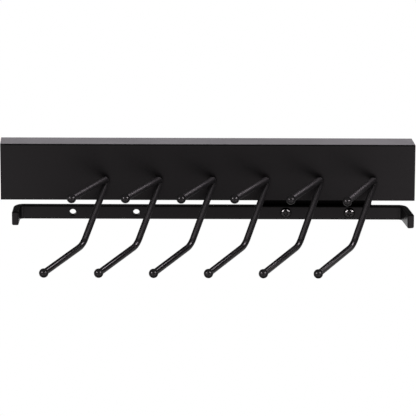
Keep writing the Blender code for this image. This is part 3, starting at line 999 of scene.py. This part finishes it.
@dataclass
class Housing:
    """Folded sheet channel with a wall flange, a bottom lip and a welded end plate."""

    low: Vector
    high: Vector
    sheet: float = 1.2 * MM
    fold: float = 1.4 * MM
    flange: float = 24.0 * MM
    lip: float = 7.0 * MM
    slant: float = 3.2 * MM
    plate_inset: float = 0.3 * MM
    plate_corner: float = 0.5 * MM
    plate_edge: float = 0.2 * MM
    seam: float = 0.9 * MM
    seam_bend: float = 0.5 * MM
    seam_foot: float = 4.8 * MM
    seam_end: float = 3.6 * MM
    seam_sides: int = 12
    seam_steps: int = 8
    seam_pieces: int = 60
    seam_lumps: Point = (900.0, 0.12)
    seam_ripples: Point = (2600.0, 0.08)
    keyhole_spacing: float = 256.0 * MM
    keyhole_head: float = 9.0 * MM
    keyhole_neck: float = 4.6 * MM
    keyhole_rise: float = 7.0 * MM
    head_steps: int = 36
    neck_steps: int = 16

    @classmethod
    def from_frame(cls) -> "Housing":
        """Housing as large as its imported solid."""
        return cls(*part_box("housing"))

    def build(self) -> None:
        """Model and place the channel, its end plate and the seam between them."""
        place("housing_shell", self.shell(), SHEET_COAT, Body.RACK, ["housing"], flats=True)
        place("housing_end_plate", self.end_plate(), SHEET_COAT, Body.RACK, flats=True)
        place("housing_end_seam", self.end_seam(), WELD_COAT, Body.RACK)

    def shell(self) -> Mesh:
        """Channel of one folded sheet, with two keyholes in its flange.

        Returns:
            The closed channel.
        """
        front, back, top, under = self.low.y, self.high.y, self.high.z, self.low.z
        profile = [(back, top - self.flange), (back, top), (front, top), (front, under),
                   (front + self.lip, under)]
        bm = folded(profile, (self.low.x, self.high.x), self.fold, self.sheet, self.slant / (back - front))
        return carved(bm, [self.keyhole(side * self.keyhole_spacing / 2) for side in (-1, 1)])

    def keyhole(self, x: float) -> Mesh:
        """Cutter for a round opening with a neck above it.

        Args:
            x: Where the keyhole's middle is.

        Returns:
            The cutter, which goes through the flange.
        """
        big, small = self.keyhole_head / 2, self.keyhole_neck / 2
        lead = math.asin(small / big)
        reach = 2 * self.sheet
        head = Vector((x, self.high.y + reach, self.high.z - self.flange / 2 - self.keyhole_rise / 2))
        neck = head + Vector((0, 0, self.keyhole_rise))
        bm = bmesh.new()
        ends = []
        for centre, arm, sweep, steps in (
                (head, Vector((-small, 0, big * math.cos(lead))), 2 * (math.pi - lead), self.head_steps),
                (neck, Vector((small, 0, 0)), math.pi, self.neck_steps)):
            start = bm.verts.new(centre + arm)
            arc = bmesh.ops.spin(bm, geom=[start], cent=centre, axis=Plane.UPRIGHT.axis, angle=sweep,
                                 steps=steps, use_merge=False)
            ends += [start, *ends_of(arc["geom_last"])]
        for pair in ((ends[1], ends[2]), (ends[3], ends[0])):
            bm.edges.new(pair)
        bmesh.ops.edgeloop_fill(bm, edges=bm.edges[:])
        return deepened(bm, (0, -2 * reach, 0))

    def end_plate(self) -> Mesh:
        """Plate that closes the front end, set in between the folds.

        Returns:
            The closed plate.
        """
        x = self.low.x + self.plate_inset
        front, back = self.low.y + self.sheet, self.high.y - self.sheet / 2
        under, top = self.low.z + self.sheet / 2, self.high.z - self.sheet
        outline = [(x, front, under), (x, back, under), (x, back, top), (x, front, top)]
        bm = pushed(outline, (self.sheet, 0, 0))
        upright = [e for e in bm.edges if abs((e.verts[0].co - e.verts[1].co).x) > self.sheet / 2]
        round_edges(bm, upright, self.plate_corner, segments=4)
        round_edges(bm, sharp_edges(bm), self.plate_edge, segments=2)
        return bm

    def end_seam(self) -> Mesh:
        """Weld bead in the corner between the end plate and the channel, on the inside.

        Returns:
            The closed bead, laid flat along its line and then stood up at the plate.
        """
        x = self.low.x + self.plate_inset + self.sheet
        front, back = self.low.y + self.sheet, self.high.y - self.seam_end
        under, top = self.low.z + self.seam_foot, self.high.z - self.sheet
        corners = [Vector((under, front)), Vector((top, front)), Vector((top, back))]
        begin = Matrix.Translation((under, front, 0)) @ Matrix.Rotation(QUARTER, 4, "Y")
        bm = bmesh.new()
        bmesh.ops.create_circle(bm, cap_ends=True, segments=self.seam_sides, radius=self.seam, matrix=begin)
        bend = self.seam_bend + self.seam / 2
        Sweep(bm, Plane.LEVEL).follow(corners, [bend], self.seam_steps, self.seam_pieces)
        (lump_scale, lump_share), (ripple_scale, ripple_share) = self.seam_lumps, self.seam_ripples
        for vert in bm.verts:
            lump = noise.noise(vert.co * lump_scale) * lump_share
            ripple = math.sin((vert.co.x + vert.co.y) * ripple_scale) * ripple_share
            vert.co.z *= 1.0 + lump + ripple
        stood = Matrix(((0, 0, 1, x), (0, 1, 0, 0), (1, 0, 0, 0), (0, 0, 0, 1)))
        bmesh.ops.transform(bm, matrix=stood, verts=bm.verts)
        settle(bm)
        return bm


@dataclass
class HookRow:
    """Six bent-rod hooks with ball caps, welded on the housing's face."""

    count: int = 6
    first: float = -102.05 * MM
    pitch: float = 53.8 * MM
    root_y: float = -27.75 * MM
    root_z: float = -23.3 * MM
    face_y: float = -24.2 * MM
    turn: float = math.radians(25.0)
    rod: float = 6.5 * MM
    ball: float = 9.3 * MM
    upper_reach: float = 73.9 * MM
    bend_reach: float = 52.5 * MM
    bend_drop: float = 54.0 * MM
    tip_reach: float = 137.4 * MM
    tip_drop: float = 57.6 * MM
    root_bend: float = 3.6 * MM
    lower_bend: float = 22.0 * MM
    sides: int = 32
    aside: tuple[float, ...] = (-1.0, -1.5, -0.3, -1.1, 0.5, 2.2)
    lift: tuple[float, ...] = (0.4, 0.4, 0.4, 0.4, 0.1, -0.9)
    cap_sides: int = 40
    cap_rows: int = 22
    cap_ridge: float = 0.05 * MM
    ridge_angle: float = 0.06
    lip_angle: float = 0.05
    lip_width: float = 0.12 * MM
    lip_rise: float = 0.14 * MM
    cap_fit: float = 0.02 * MM
    bore_inset: float = 0.4 * MM
    bore_depth: float = 0.6 * MM
    weld_size: Spot = (3.3 * MM, 1.3 * MM, 5.2 * MM)
    weld_sides: tuple[int, int] = (36, 20)
    weld_sink: float = 0.3 * MM
    weld_scale: float = 700.0
    weld_shift: float = 7.3
    weld_lumps: tuple[Point, ...] = ((1.0, 0.10), (2.7, 0.05))
    corners: list[Vector] = field(init=False)

    def __post_init__(self) -> None:
        """Work out the corners of the rod's axis, upper tip first."""
        reach = Vector((self.bend_reach - self.root_bend, self.bend_drop - self.root_bend))
        slope = math.atan2(reach.y, reach.x) - math.asin(self.root_bend / reach.length)
        apex = self.root_bend - self.root_bend / math.tan(slope / 2)
        self.corners = [Vector((self.upper_reach, 0)), Vector((apex, 0)),
                        Vector((self.bend_reach, -self.bend_drop)), Vector((self.tip_reach, -self.tip_drop))]

    def build(self) -> None:
        """Model and place every hook with its caps and its weld."""
        facing = Matrix.Rotation(-QUARTER - self.turn, 4, "Z")
        for i in range(self.count):
            root = Vector((self.first + i * self.pitch, self.root_y, self.root_z))
            stand = Matrix.Translation(root) @ facing
            bent = stand @ self.prong_set(i)
            place(f"hook_rod_{i + 1}", self.bent_rod(stand, bent), ROD_COAT, Body.RACK, [f"hook_{i + 1}"])
            place(f"hook_weld_{i + 1}", self.weld(root, i), WELD_COAT, Body.RACK)
            for label, tip, neck, seat in (("upper", 0, 1, bent), ("lower", -1, -2, stand)):
                axis = (self.corners[neck] - self.corners[tip]).normalized()
                cap = self.cap(seat, self.corners[tip], axis)
                place(f"{label}_cap_{i + 1}", cap, CAP_GLOSS, Body.RACK, [f"{label}_ball_{i + 1}"])

    def prong_set(self, index: int) -> Matrix:
        """How one upper prong is bent aside and up from its root, in the hook's own place.

        Args:
            index: Which hook it is, from the left.

        Returns:
            The shear that bends it.
        """
        bent = Matrix.Identity(4)
        bent[1][0] = math.tan(math.radians(self.aside[index]))
        bent[2][0] = math.tan(math.radians(self.lift[index]))
        pivot = Matrix.Translation((self.root_bend, 0, 0))
        return pivot @ bent @ pivot.inverted()

    def bent_rod(self, stand: Matrix, bent: Matrix) -> Mesh:
        """One rod with its hairpin at the root and its lower bend.

        Args:
            stand: Where the hook stands.
            bent: The same place, with the upper prong's own set.

        Returns:
            The closed rod.
        """
        bm = bmesh.new()
        heading = Plane.UPRIGHT.lift((self.corners[1] - self.corners[0]).normalized())
        begin = aimed(Plane.UPRIGHT.lift(self.corners[0]), heading)
        radius = self.rod / 2
        tip = bmesh.ops.create_circle(bm, cap_ends=True, segments=self.sides, radius=radius, matrix=begin)
        Sweep(bm, Plane.UPRIGHT).follow(self.corners, [self.root_bend, self.lower_bend], BEND_STEPS)
        bmesh.ops.transform(bm, matrix=stand.inverted() @ bent, verts=tip["verts"])
        bmesh.ops.transform(bm, matrix=stand, verts=bm.verts)
        settle(bm)
        return bm

    def cap(self, stand: Matrix, tip: Vector, axis: Vector) -> Mesh:
        """Ball cap with a parting ridge and a rounded lip round its rod.

        Args:
            stand: Where the hook stands.
            tip: The ball's middle in the hook's plane.
            axis: Heading from the ball into the rod.

        Returns:
            The closed cap.
        """
        radius, rod = self.ball / 2, self.rod / 2
        flat = math.sqrt(radius ** 2 - rod ** 2)
        last = math.pi - math.acos(flat / radius) - self.lip_angle
        profile = []
        for k in range(self.cap_rows + 1):
            angle = last * k / self.cap_rows
            ridge = self.cap_ridge * max(0.0, 1.0 - abs(angle - QUARTER) / self.ridge_angle)
            profile.append(((radius + ridge) * math.sin(angle), -(radius + ridge) * math.cos(angle)))
        edge, rise = profile[-1]
        profile += [(edge - self.lip_width, rise + self.lip_rise),
                    (rod - self.cap_fit, rise + self.lip_width),
                    (rod - self.bore_inset, rise - self.bore_depth), (0, rise - self.bore_depth)]
        seat = aimed(Plane.UPRIGHT.lift(tip), Plane.UPRIGHT.lift(axis))
        return turned(profile, stand @ seat, self.cap_sides)

    def weld(self, root: Vector, index: int) -> Mesh:
        """Puddle of weld between the hairpin and the face.

        Args:
            root: Where the hook's root is.
            index: Which hook it is, from the left.

        Returns:
            The closed puddle, sunk a little into the face.
        """
        bm = bmesh.new()
        around, rows = self.weld_sides
        size = Matrix.Diagonal((*self.weld_size, 1.0))
        bmesh.ops.create_uvsphere(bm, u_segments=around, v_segments=rows, radius=1.0, matrix=size)
        for vert in bm.verts:
            spot = vert.co * self.weld_scale + Vector((index * self.weld_shift, 0, 0))
            vert.co *= 1.0 + sum(share * noise.noise(spot * scale) for scale, share in self.weld_lumps)
        bmesh.ops.translate(bm, verts=bm.verts, vec=(root.x, self.face_y, root.z - self.root_bend))
        whole = bm.verts[:] + bm.edges[:] + bm.faces[:]
        cut = bmesh.ops.bisect_plane(bm, geom=whole, plane_co=(0, self.face_y + self.weld_sink, 0),
                                     plane_no=(0, 1, 0), clear_outer=True)
        bmesh.ops.edgeloop_fill(bm, edges=edges_of(cut["geom_cut"]))
        settle(bm)
        return bm


@dataclass
class SlideTrack:
    """C-shaped track inside the housing, with a rubber stop at both ends."""

    low: Vector
    high: Vector
    sheet: float = 1.2 * MM
    fold: float = 1.9 * MM
    lip: float = 4.0 * MM
    groove: float = 1.1 * MM
    stop_edge: float = 0.5 * MM

    @classmethod
    def from_frame(cls) -> "SlideTrack":
        """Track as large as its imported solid."""
        return cls(*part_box("slide_track"))

    def build(self) -> None:
        """Model and place the track and its stops."""
        front, rear, under, top = self.low.y, self.high.y, self.low.z, self.high.z
        slot = self.sheet + self.lip
        profile = [(rear, top - slot), (rear, top), (front, top),
                   (front, under), (rear, under), (rear, under + slot)]
        bm = folded(profile, (self.low.x, self.high.x), self.fold, self.sheet)
        place("track_channel", bm, BRIGHT_ZINC, Body.RACK, ["slide_track"], flats=True)
        for end in End:
            name = end.value
            place(f"track_stop_{name}", self.stop(end), RUBBER, Body.RACK, [f"{name}_stop"], flats=True)

    def stop(self, end: End) -> Mesh:
        """Rubber block that fills the track's section, with two grooves above and two below.

        Args:
            end: The end of the track that it is at.

        Returns:
            The closed block.
        """
        low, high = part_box(f"{end.value}_stop")
        outline = []
        for z, one, two, way in ((low.z, low.x, high.x, 1), (high.z, high.x, low.x, -1)):
            outline.append((one, low.y, z))
            for third in (1, 2):
                x = one + (two - one) * third / 3
                for side, rise in ((-way, 0), (0, way), (way, 0)):
                    outline.append((x + side * self.groove, low.y, z + rise * self.groove))
            outline.append((two, low.y, z))
        bm = pushed(outline, (0, high.y - low.y, 0))
        round_edges(bm, sharp_edges(bm), self.stop_edge)
        return bm


@dataclass
class Carriage:
    """Plate on two rollers that hangs in the track and carries the bar."""

    axle_x: dict[End, float]
    screw_x: dict[End, float]
    track_z: float
    bar_z: float
    corner: float = 4.0 * MM
    plate_edge: float = 0.3 * MM
    hole_rim: float = 0.2 * MM
    screw_hole: float = 3.3 * MM
    axle_hole: float = 2.8 * MM
    play: float = 0.3 * MM
    pin_head: float = 5.0 * MM
    pin_shaft: float = 3.0 * MM
    pin_collar: float = 4.5 * MM
    pin_neck: float = 2.5 * MM
    pin_tail: float = 4.0 * MM
    tail_rounding: tuple[Point, ...] = ((0.92, 0.45), (0.55, 1.0))
    pin_fillet: float = 0.25 * MM
    pin_sides: int = 48
    roller_bore: float = 3.3 * MM
    roller_hub: float = 4.9 * MM
    roller_rim: float = 2.0 * MM
    roller_hollow: float = 1 / 6
    roller_edge: float = 0.9 * MM
    roller_draft: float = 0.2 * MM
    roller_fillet: float = 0.3 * MM
    roller_sides: int = 56
    screw_shank: float = 3.0 * MM
    screw_head: float = 3.6 * MM
    screw_crown: float = 3.4 * MM
    screw_rows: int = 14
    screw_rim: float = 0.15 * MM
    screw_chamfer: float = 0.9 * MM
    screw_sides: int = 56
    recess_arm: float = 3.0 * MM
    recess_half: float = 0.75 * MM
    recess_proud: float = 0.4 * MM
    recess_depth: float = 2.6 * MM
    recess_taper: float = 0.52

    @classmethod
    def from_frame(cls) -> "Carriage":
        """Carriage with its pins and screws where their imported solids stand.

        Returns:
            The carriage.
        """
        axles = {end: middle_of(f"{end.value}_axle").x for end in End}
        screws = {end: middle_of(f"bar_screw_{end.value}").x for end in End}
        return cls(axles, screws, middle_of("front_axle").z, middle_of("bar_screw_front").z)

    def build(self) -> None:
        """Model and place the plate, pins, rollers and screws."""
        # The plate's coat is a darker copy of the black coat: painted shade for the gap under the housing.
        place("carrier_plate", self.plate(), PLATE_COAT_PAINTED_SHADE, Body.CARRIAGE, ["carriage_plate"], flats=True)
        for end in End:
            name = end.value
            place(f"roller_pin_{name}", self.pin(end), BRIGHT_STEEL, Body.CARRIAGE, [f"{name}_axle"])
            place(f"track_roller_{name}", self.roller(end), NYLON, end.roller, [f"{name}_roller"])
            place(f"pan_screw_{name}", self.screw(end), BLACK_ZINC, Body.CARRIAGE, [f"bar_screw_{name}"])

    def plate(self) -> Mesh:
        """Flat plate with cut-off upper corners and four holes.

        Returns:
            The closed plate.
        """
        low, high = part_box("carriage_plate")
        cut = self.corner
        outline = [(low.x, low.z), (high.x, low.z), (high.x, high.z - cut), (high.x - cut, high.z),
                   (low.x + cut, high.z), (low.x, high.z - cut)]
        bm = pushed([(x, low.y, z) for x, z in outline], (0, high.y - low.y, 0))
        round_edges(bm, sharp_edges(bm, CREASE), self.plate_edge)
        rows = ((self.axle_x, self.track_z, self.axle_hole), (self.screw_x, self.bar_z, self.screw_hole))
        return carved(bm, [countersunk(x, z, (low.y, high.y), radius, self.hole_rim)
                           for row, z, radius in rows for x in row.values()])

    def pin(self, end: End) -> Mesh:
        """Shouldered pin with a head in front of the roller and a riveted tail behind the plate.

        Args:
            end: The end of the plate that it is at.

        Returns:
            The closed pin.
        """
        low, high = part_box(f"{end.value}_axle")
        plate_low, plate_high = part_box("carriage_plate")
        roller_low, roller_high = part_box(f"{end.value}_roller")
        seat, shoulder = roller_low.y - self.play - low.y, roller_high.y + self.play - low.y
        face, rear = plate_low.y - self.play - low.y, plate_high.y + self.play - low.y
        length = high.y - low.y
        profile = [(0, 0), (self.pin_head, 0), (self.pin_head, seat), (self.pin_shaft, seat),
                   (self.pin_shaft, shoulder), (self.pin_collar, shoulder), (self.pin_collar, face),
                   (self.pin_neck, face), (self.pin_neck, rear), (self.pin_tail, rear)]
        profile += [(self.pin_tail * wide, rear + (length - rear) * far) for wide, far in self.tail_rounding]
        profile.append((0, length))
        stand = turning_at(self.axle_x[end], low.y, self.track_z)
        return turned(profile, stand, self.pin_sides, self.pin_fillet)

    def roller(self, end: End) -> Mesh:
        """Moulded roller with chamfered edges and a ring hollow in each side.

        Args:
            end: The end of the plate that it is at.

        Returns:
            The closed roller.
        """
        low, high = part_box(f"{end.value}_roller")
        radius, width = (high.z - low.z) / 2, high.y - low.y
        rim, hollow, edge = radius - self.roller_rim, width * self.roller_hollow, self.roller_edge
        half = [(self.roller_bore, 0), (self.roller_hub, 0), (self.roller_hub + self.roller_draft, hollow),
                (rim - self.roller_draft, hollow), (rim, 0), (radius - edge, 0), (radius, edge)]
        profile = half + [(r, width - h) for r, h in reversed(half)]
        stand = turning_at(self.axle_x[end], low.y, self.track_z)
        return turned(profile, stand, self.roller_sides, self.roller_fillet, closed=True)

    def screw(self, end: End) -> Mesh:
        """Pan-head screw with a tapered cross recess and a chamfered end.

        Args:
            end: The end of the plate that it is at.

        Returns:
            The closed screw.
        """
        low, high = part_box(f"bar_screw_{end.value}")
        head, length = (high.z - low.z) / 2, high.y - low.y
        profile = []
        for k in range(self.screw_rows + 1):
            angle = QUARTER * k / self.screw_rows
            profile.append((head * math.sin(angle), self.screw_crown * (1 - math.cos(angle))))
        profile += [(head, self.screw_head - self.screw_rim), (head - self.screw_rim, self.screw_head),
                    (self.screw_shank, self.screw_head), (self.screw_shank, length - self.screw_chamfer),
                    (self.screw_shank - self.screw_chamfer, length), (0, length)]
        stand = turning_at(self.screw_x[end], low.y, self.bar_z)
        return carved(turned(profile, stand, self.screw_sides), [self.recess(stand)])

    def recess(self, stand: Matrix) -> Mesh:
        """Cutter for the cross recess, narrowing with depth.

        Args:
            stand: Where the screw's head starts.

        Returns:
            The cutter.
        """
        bm = bmesh.new()
        arm, half = self.recess_arm, self.recess_half
        verts = []
        for k in range(4):
            spin = Matrix.Rotation(QUARTER * k, 3, "Z")
            for x, y in ((arm, -half), (arm, half), (half, half)):
                verts.append(bm.verts.new(spin @ Vector((x, y, -self.recess_proud))))
        face = bm.faces.new(verts)
        floor = ends_of(bmesh.ops.extrude_face_region(bm, geom=[face])["geom"])
        bmesh.ops.translate(bm, verts=floor, vec=(0, 0, self.recess_depth))
        bmesh.ops.scale(bm, verts=floor, vec=(self.recess_taper, self.recess_taper, 1.0))
        bmesh.ops.transform(bm, matrix=stand, verts=bm.verts)
        settle(bm)
        return bm


@dataclass
class HangerBar:
    """Flat bar on edge with both ends turned forward and two pairs of holes."""

    carriage: Carriage
    low: Vector
    high: Vector
    thick: float = 6.8 * MM
    front_overhang: float = 59.5 * MM
    rear_overhang: float = 58.2 * MM
    bend: float = 7.0 * MM
    edge: float = 1.6 * MM
    edge_steps: int = 8
    tip: float = 1.5 * MM
    tip_steps: int = 5
    front_arm: float = 21.5 * MM
    rear_arm: float = 27.7 * MM
    front_splay: float = math.radians(2.6)
    rear_splay: float = math.radians(11.3)
    pair_spacing: float = 214.8 * MM
    hole: float = 3.3 * MM
    rim: float = 0.55 * MM

    @classmethod
    def from_frame(cls, carriage: Carriage) -> "HangerBar":
        """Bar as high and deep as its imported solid."""
        return cls(carriage, *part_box("hanger_bar"))

    def build(self) -> None:
        """Model and place the bar."""
        place("flat_bar", self.bar(), BAR_COAT, Body.CARRIAGE, ["hanger_bar"], flats=True)

    def bar(self) -> Mesh:
        """Bar swept from its front tip to its rear tip, then drilled.

        Returns:
            The closed bar.
        """
        half = self.thick / 2
        rear, middle, front = self.high.y, self.high.y - half, self.high.y - self.thick
        screws = self.carriage.screw_x
        left = screws[End.FRONT] - self.pair_spacing - self.front_overhang + half
        right = screws[End.REAR] + self.rear_overhang - half
        left_tip = left - (self.front_arm + half) * math.tan(self.front_splay)
        right_tip = right + (self.rear_arm + half) * math.tan(self.rear_splay)
        corners = [Vector((left_tip, front - self.front_arm)), Vector((left, middle)),
                   Vector((right, middle)), Vector((right_tip, front - self.rear_arm))]
        bm = bmesh.new()
        across = left_of((corners[1] - corners[0]).normalized()) * half
        section = [(corners[0] + across * side).to_3d() + Vector((0, 0, z))
                   for side, z in ((-1, self.low.z), (1, self.low.z), (1, self.high.z), (-1, self.high.z))]
        face = bm.faces.new([bm.verts.new(p) for p in section])
        round_corners(bm, face.verts, self.edge, self.edge_steps)
        Sweep(bm, Plane.LEVEL).follow(corners, [self.bend] * 2, BEND_STEPS)
        settle(bm)
        caps = sorted(bm.faces, key=lambda f: len(f.verts))[-2:]
        round_edges(bm, [e for cap in caps for e in cap.edges], self.tip, self.tip_steps)
        places = [x - shift for shift in (0, self.pair_spacing) for x in screws.values()]
        z = (self.low.z + self.high.z) / 2
        return carved(bm, [countersunk(x, z, (front, rear), self.hole, self.rim) for x in places])


SHEET_PIECES = ("housing_shell", "housing_end_plate")
ROD_PIECES = tuple(f"hook_rod_{i + 1}" for i in range(HookRow.count))
CAP_PIECES = tuple(f"{level}_cap_{i + 1}" for level in ("upper", "lower") for i in range(HookRow.count))
INNER_PIECES = ("track_channel", "carrier_plate") + tuple(
    f"{part}_{end.value}" for part in ("track_stop", "roller_pin", "track_roller") for end in End)
SCREW_PIECES = tuple(f"pan_screw_{end.value}" for end in End)


# Studio


@dataclass(frozen=True)
class Softbox:
    """One soft light, aimed at the rack."""

    name: str
    spot: Spot
    size: Point
    power: float
    tint: Colour = (1.0, 1.0, 1.0)
    lit: tuple[str, ...] = ()
    shaded_by: tuple[str, ...] = ()
    aim: Spot = (0.0, -0.05, -0.04)

    def build(self) -> None:
        """Set up the light, for the pieces under lit and shaded_by alone where they are given."""
        data = bpy.data.lights.new(self.name, "AREA")
        data.shape, data.energy, data.color = "RECTANGLE", self.power, self.tint
        data.size, data.size_y = self.size
        lamp = bpy.data.objects.new(self.name, data)
        lamp.location = self.spot
        lamp.rotation_euler = (Vector(self.aim) - lamp.location).to_track_quat("-Z", "Y").to_euler()
        lamp.visible_camera = False
        bpy.context.scene.collection.objects.link(lamp)
        for role, names in (("receiver", self.lit), ("blocker", self.shaded_by)):
            if names:
                pieces = bpy.data.collections.new(f"{self.name}_{role}")
                setattr(lamp.light_linking, f"{role}_collection", pieces)
                for piece in names:
                    pieces.objects.link(bpy.data.objects[piece])


LEFT_BOX = (-1.37, -1.15, 0.91)
RIGHT_BOX = (1.32, -0.92, 1.0)
SOFTBOXES = (
    Softbox("left_softbox", LEFT_BOX, (0.55, 0.55), 16.0, lit=CAP_PIECES),
    Softbox("right_softbox", RIGHT_BOX, (0.55, 0.55), 17.0, lit=CAP_PIECES),
    Softbox("left_screw_light", LEFT_BOX, (1.2, 1.2), 88.0, lit=SCREW_PIECES),
    Softbox("right_screw_light", RIGHT_BOX, (1.2, 1.2), 70.0, lit=SCREW_PIECES),
    Softbox("hook_light", (0.86, 0.66, 1.19), (0.8, 0.8), 14.0, (1.0, 0.95, 1.0), ROD_PIECES, ROD_PIECES),
    Softbox("hook_key", (0.2, -0.9, 1.42), (1.0, 0.8), 5.2, lit=ROD_PIECES),
    Softbox("hook_fill", (-0.5, -0.5, 1.5), (0.8, 0.8), 3.8, lit=ROD_PIECES),
    Softbox("hook_rim", (1.0, 0.92, 0.34), (0.7, 0.5), 1.4, (1.0, 0.95, 1.0), ROD_PIECES, SCREW_PIECES),
    Softbox("bar_rim", (-0.4, 1.35, -0.45), (1.0, 0.6), 1.9, lit=("flat_bar",)),
    Softbox("left_table", (-0.45, -0.75, -0.28), (0.45, 0.4), 0.28),
    Softbox("right_table", (0.45, -0.75, -0.28), (0.45, 0.4), 0.36),
    Softbox("rear_fill", (-0.5, 1.5, 0.5), (1.2, 0.8), 22.0, lit=INNER_PIECES),
    Softbox("back_panel", (0.2, 0.95, 0.45), (1.5, 0.6), 4.15, (0.985, 0.94, 1.0), SHEET_PIECES),
)


@dataclass
class Studio:
    """Camera, soft light and a pale floor."""

    eye: Vector = field(default_factory=lambda: Vector((0.01119, -4.1951, 1.2861)))
    yaw: float = -0.0026
    pitch: float = math.radians(17.82)
    roll: float = math.radians(0.13)
    focal: float = 4356.5
    frame: float = 416.0
    sensor: float = 36.0
    clip: Point = (0.1, 200.0)
    floor_z: float = -0.3
    floor_size: float = 40.0
    ahead: Ramp = (-0.05, -0.6, (0.02, 0.335))
    table: Ramp = (0.3, -0.15, (0.3, 1.0))
    overhead: Ramp = (0.3, 0.65, (0.0, 0.1))
    behind: Ramp = (0.15, 0.6, (0.0, 1.0))
    low_behind: Ramp = (0.3, 0.0, (0.0, 0.3))
    sides: tuple[Ramp, ...] = ((-0.55, -0.9, (0.0, 0.25)), (0.55, 0.9, (0.0, 0.16)))
    beside: Ramp = (0.4, 0.05, (0.0, 1.0))

    def build(self) -> None:
        """Set up the whole studio."""
        bpy.context.scene.view_settings.view_transform = "Standard"
        self.camera()
        self.floor()
        self.surround()
        for lamp in SOFTBOXES:
            lamp.build()
        LOG.info("studio: %d soft lights", len(SOFTBOXES))

    def camera(self) -> None:
        """Long lens in front of the rack and above it."""
        data = bpy.data.cameras.new("camera")
        data.sensor_fit, data.sensor_width = "HORIZONTAL", self.sensor
        data.lens = self.focal * self.sensor / self.frame
        data.clip_start, data.clip_end = self.clip
        level = Vector((math.sin(self.yaw), math.cos(self.yaw), 0)) * math.cos(self.pitch)
        ahead = level - Vector((0, 0, math.sin(self.pitch)))
        right = Vector((math.cos(self.yaw), -math.sin(self.yaw), 0))
        up = right.cross(ahead)
        across = right * math.cos(self.roll) + up * math.sin(self.roll)
        upright = up * math.cos(self.roll) - right * math.sin(self.roll)
        camera = bpy.data.objects.new("camera", data)
        facing = Matrix((across, upright, -ahead)).transposed().to_4x4()
        camera.matrix_world = Matrix.Translation(self.eye) @ facing
        bpy.context.scene.collection.objects.link(camera)
        bpy.context.scene.camera = camera

    def floor(self) -> None:
        """Plain pale floor that only the camera sees, and only from above."""
        bm = bmesh.new()
        level = Matrix.Translation((0, 0, self.floor_z))
        bmesh.ops.create_grid(bm, x_segments=1, y_segments=1, size=self.floor_size, matrix=level)
        mesh = bpy.data.meshes.new("floor")
        bm.to_mesh(mesh)
        bm.free()
        floor = bpy.data.objects.new("floor", mesh)
        bpy.context.scene.collection.objects.link(floor)
        made = bpy.data.materials.new("pale_floor")
        made.use_nodes = True
        made.node_tree.nodes.clear()
        net = Wiring(made.node_tree)
        pale = net.add("ShaderNodeEmission", {"Color": WHITE, "Strength": 1.0}).outputs[0]
        clear = net.add("ShaderNodeBsdfTransparent").outputs[0]
        side = net.add("ShaderNodeNewGeometry").outputs["Backfacing"]
        mix = net.add("ShaderNodeMixShader", {0: side, 1: pale, 2: clear}).outputs[0]
        net.add("ShaderNodeOutputMaterial", {"Surface": mix})
        mesh.materials.append(made)
        floor.visible_diffuse = floor.visible_glossy = False
        floor.visible_shadow = floor.visible_transmission = False

    def surround(self) -> None:
        """White for the camera, and brightest for the rack where it looks down on a pale table."""
        world = bpy.data.worlds.new("studio")
        bpy.context.scene.world = world
        world.use_nodes = True
        world.node_tree.nodes.clear()
        net = Wiring(world.node_tree)
        heading = net.add("ShaderNodeTexCoord").outputs["Generated"]
        ray = net.add("ShaderNodeSeparateXYZ", {0: heading}).outputs
        parts = [net.times(net.ramp(ray["Y"], *self.ahead), net.ramp(ray["Z"], *self.table)),
                 net.ramp(ray["Z"], *self.overhead),
                 net.times(net.ramp(ray["Y"], *self.behind), net.ramp(ray["Z"], *self.low_behind))]
        for side in self.sides:
            parts.append(net.times(net.ramp(ray["X"], *side), net.ramp(ray["Y"], *self.beside)))
        strength = net.add("ShaderNodeLightPath").outputs["Is Camera Ray"]
        for part in parts:
            strength = net.math("MAXIMUM", strength, part)
        white = net.add("ShaderNodeBackground", {"Color": WHITE, "Strength": strength})
        net.add("ShaderNodeOutputWorld", {"Surface": white.outputs[0]})


def main() -> None:
    """Build the studio and every sub-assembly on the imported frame."""
    logging.basicConfig(level=logging.INFO, format="%(name)s %(message)s")
    for obj in list(bpy.data.objects):
        bpy.data.objects.remove(obj, do_unlink=True)
    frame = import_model()
    Housing.from_frame().build()
    HookRow().build()
    SlideTrack.from_frame().build()
    carriage = Carriage.from_frame()
    carriage.build()
    HangerBar.from_frame(carriage).build()
    Studio().build()


if __name__ == "__main__":
    main()
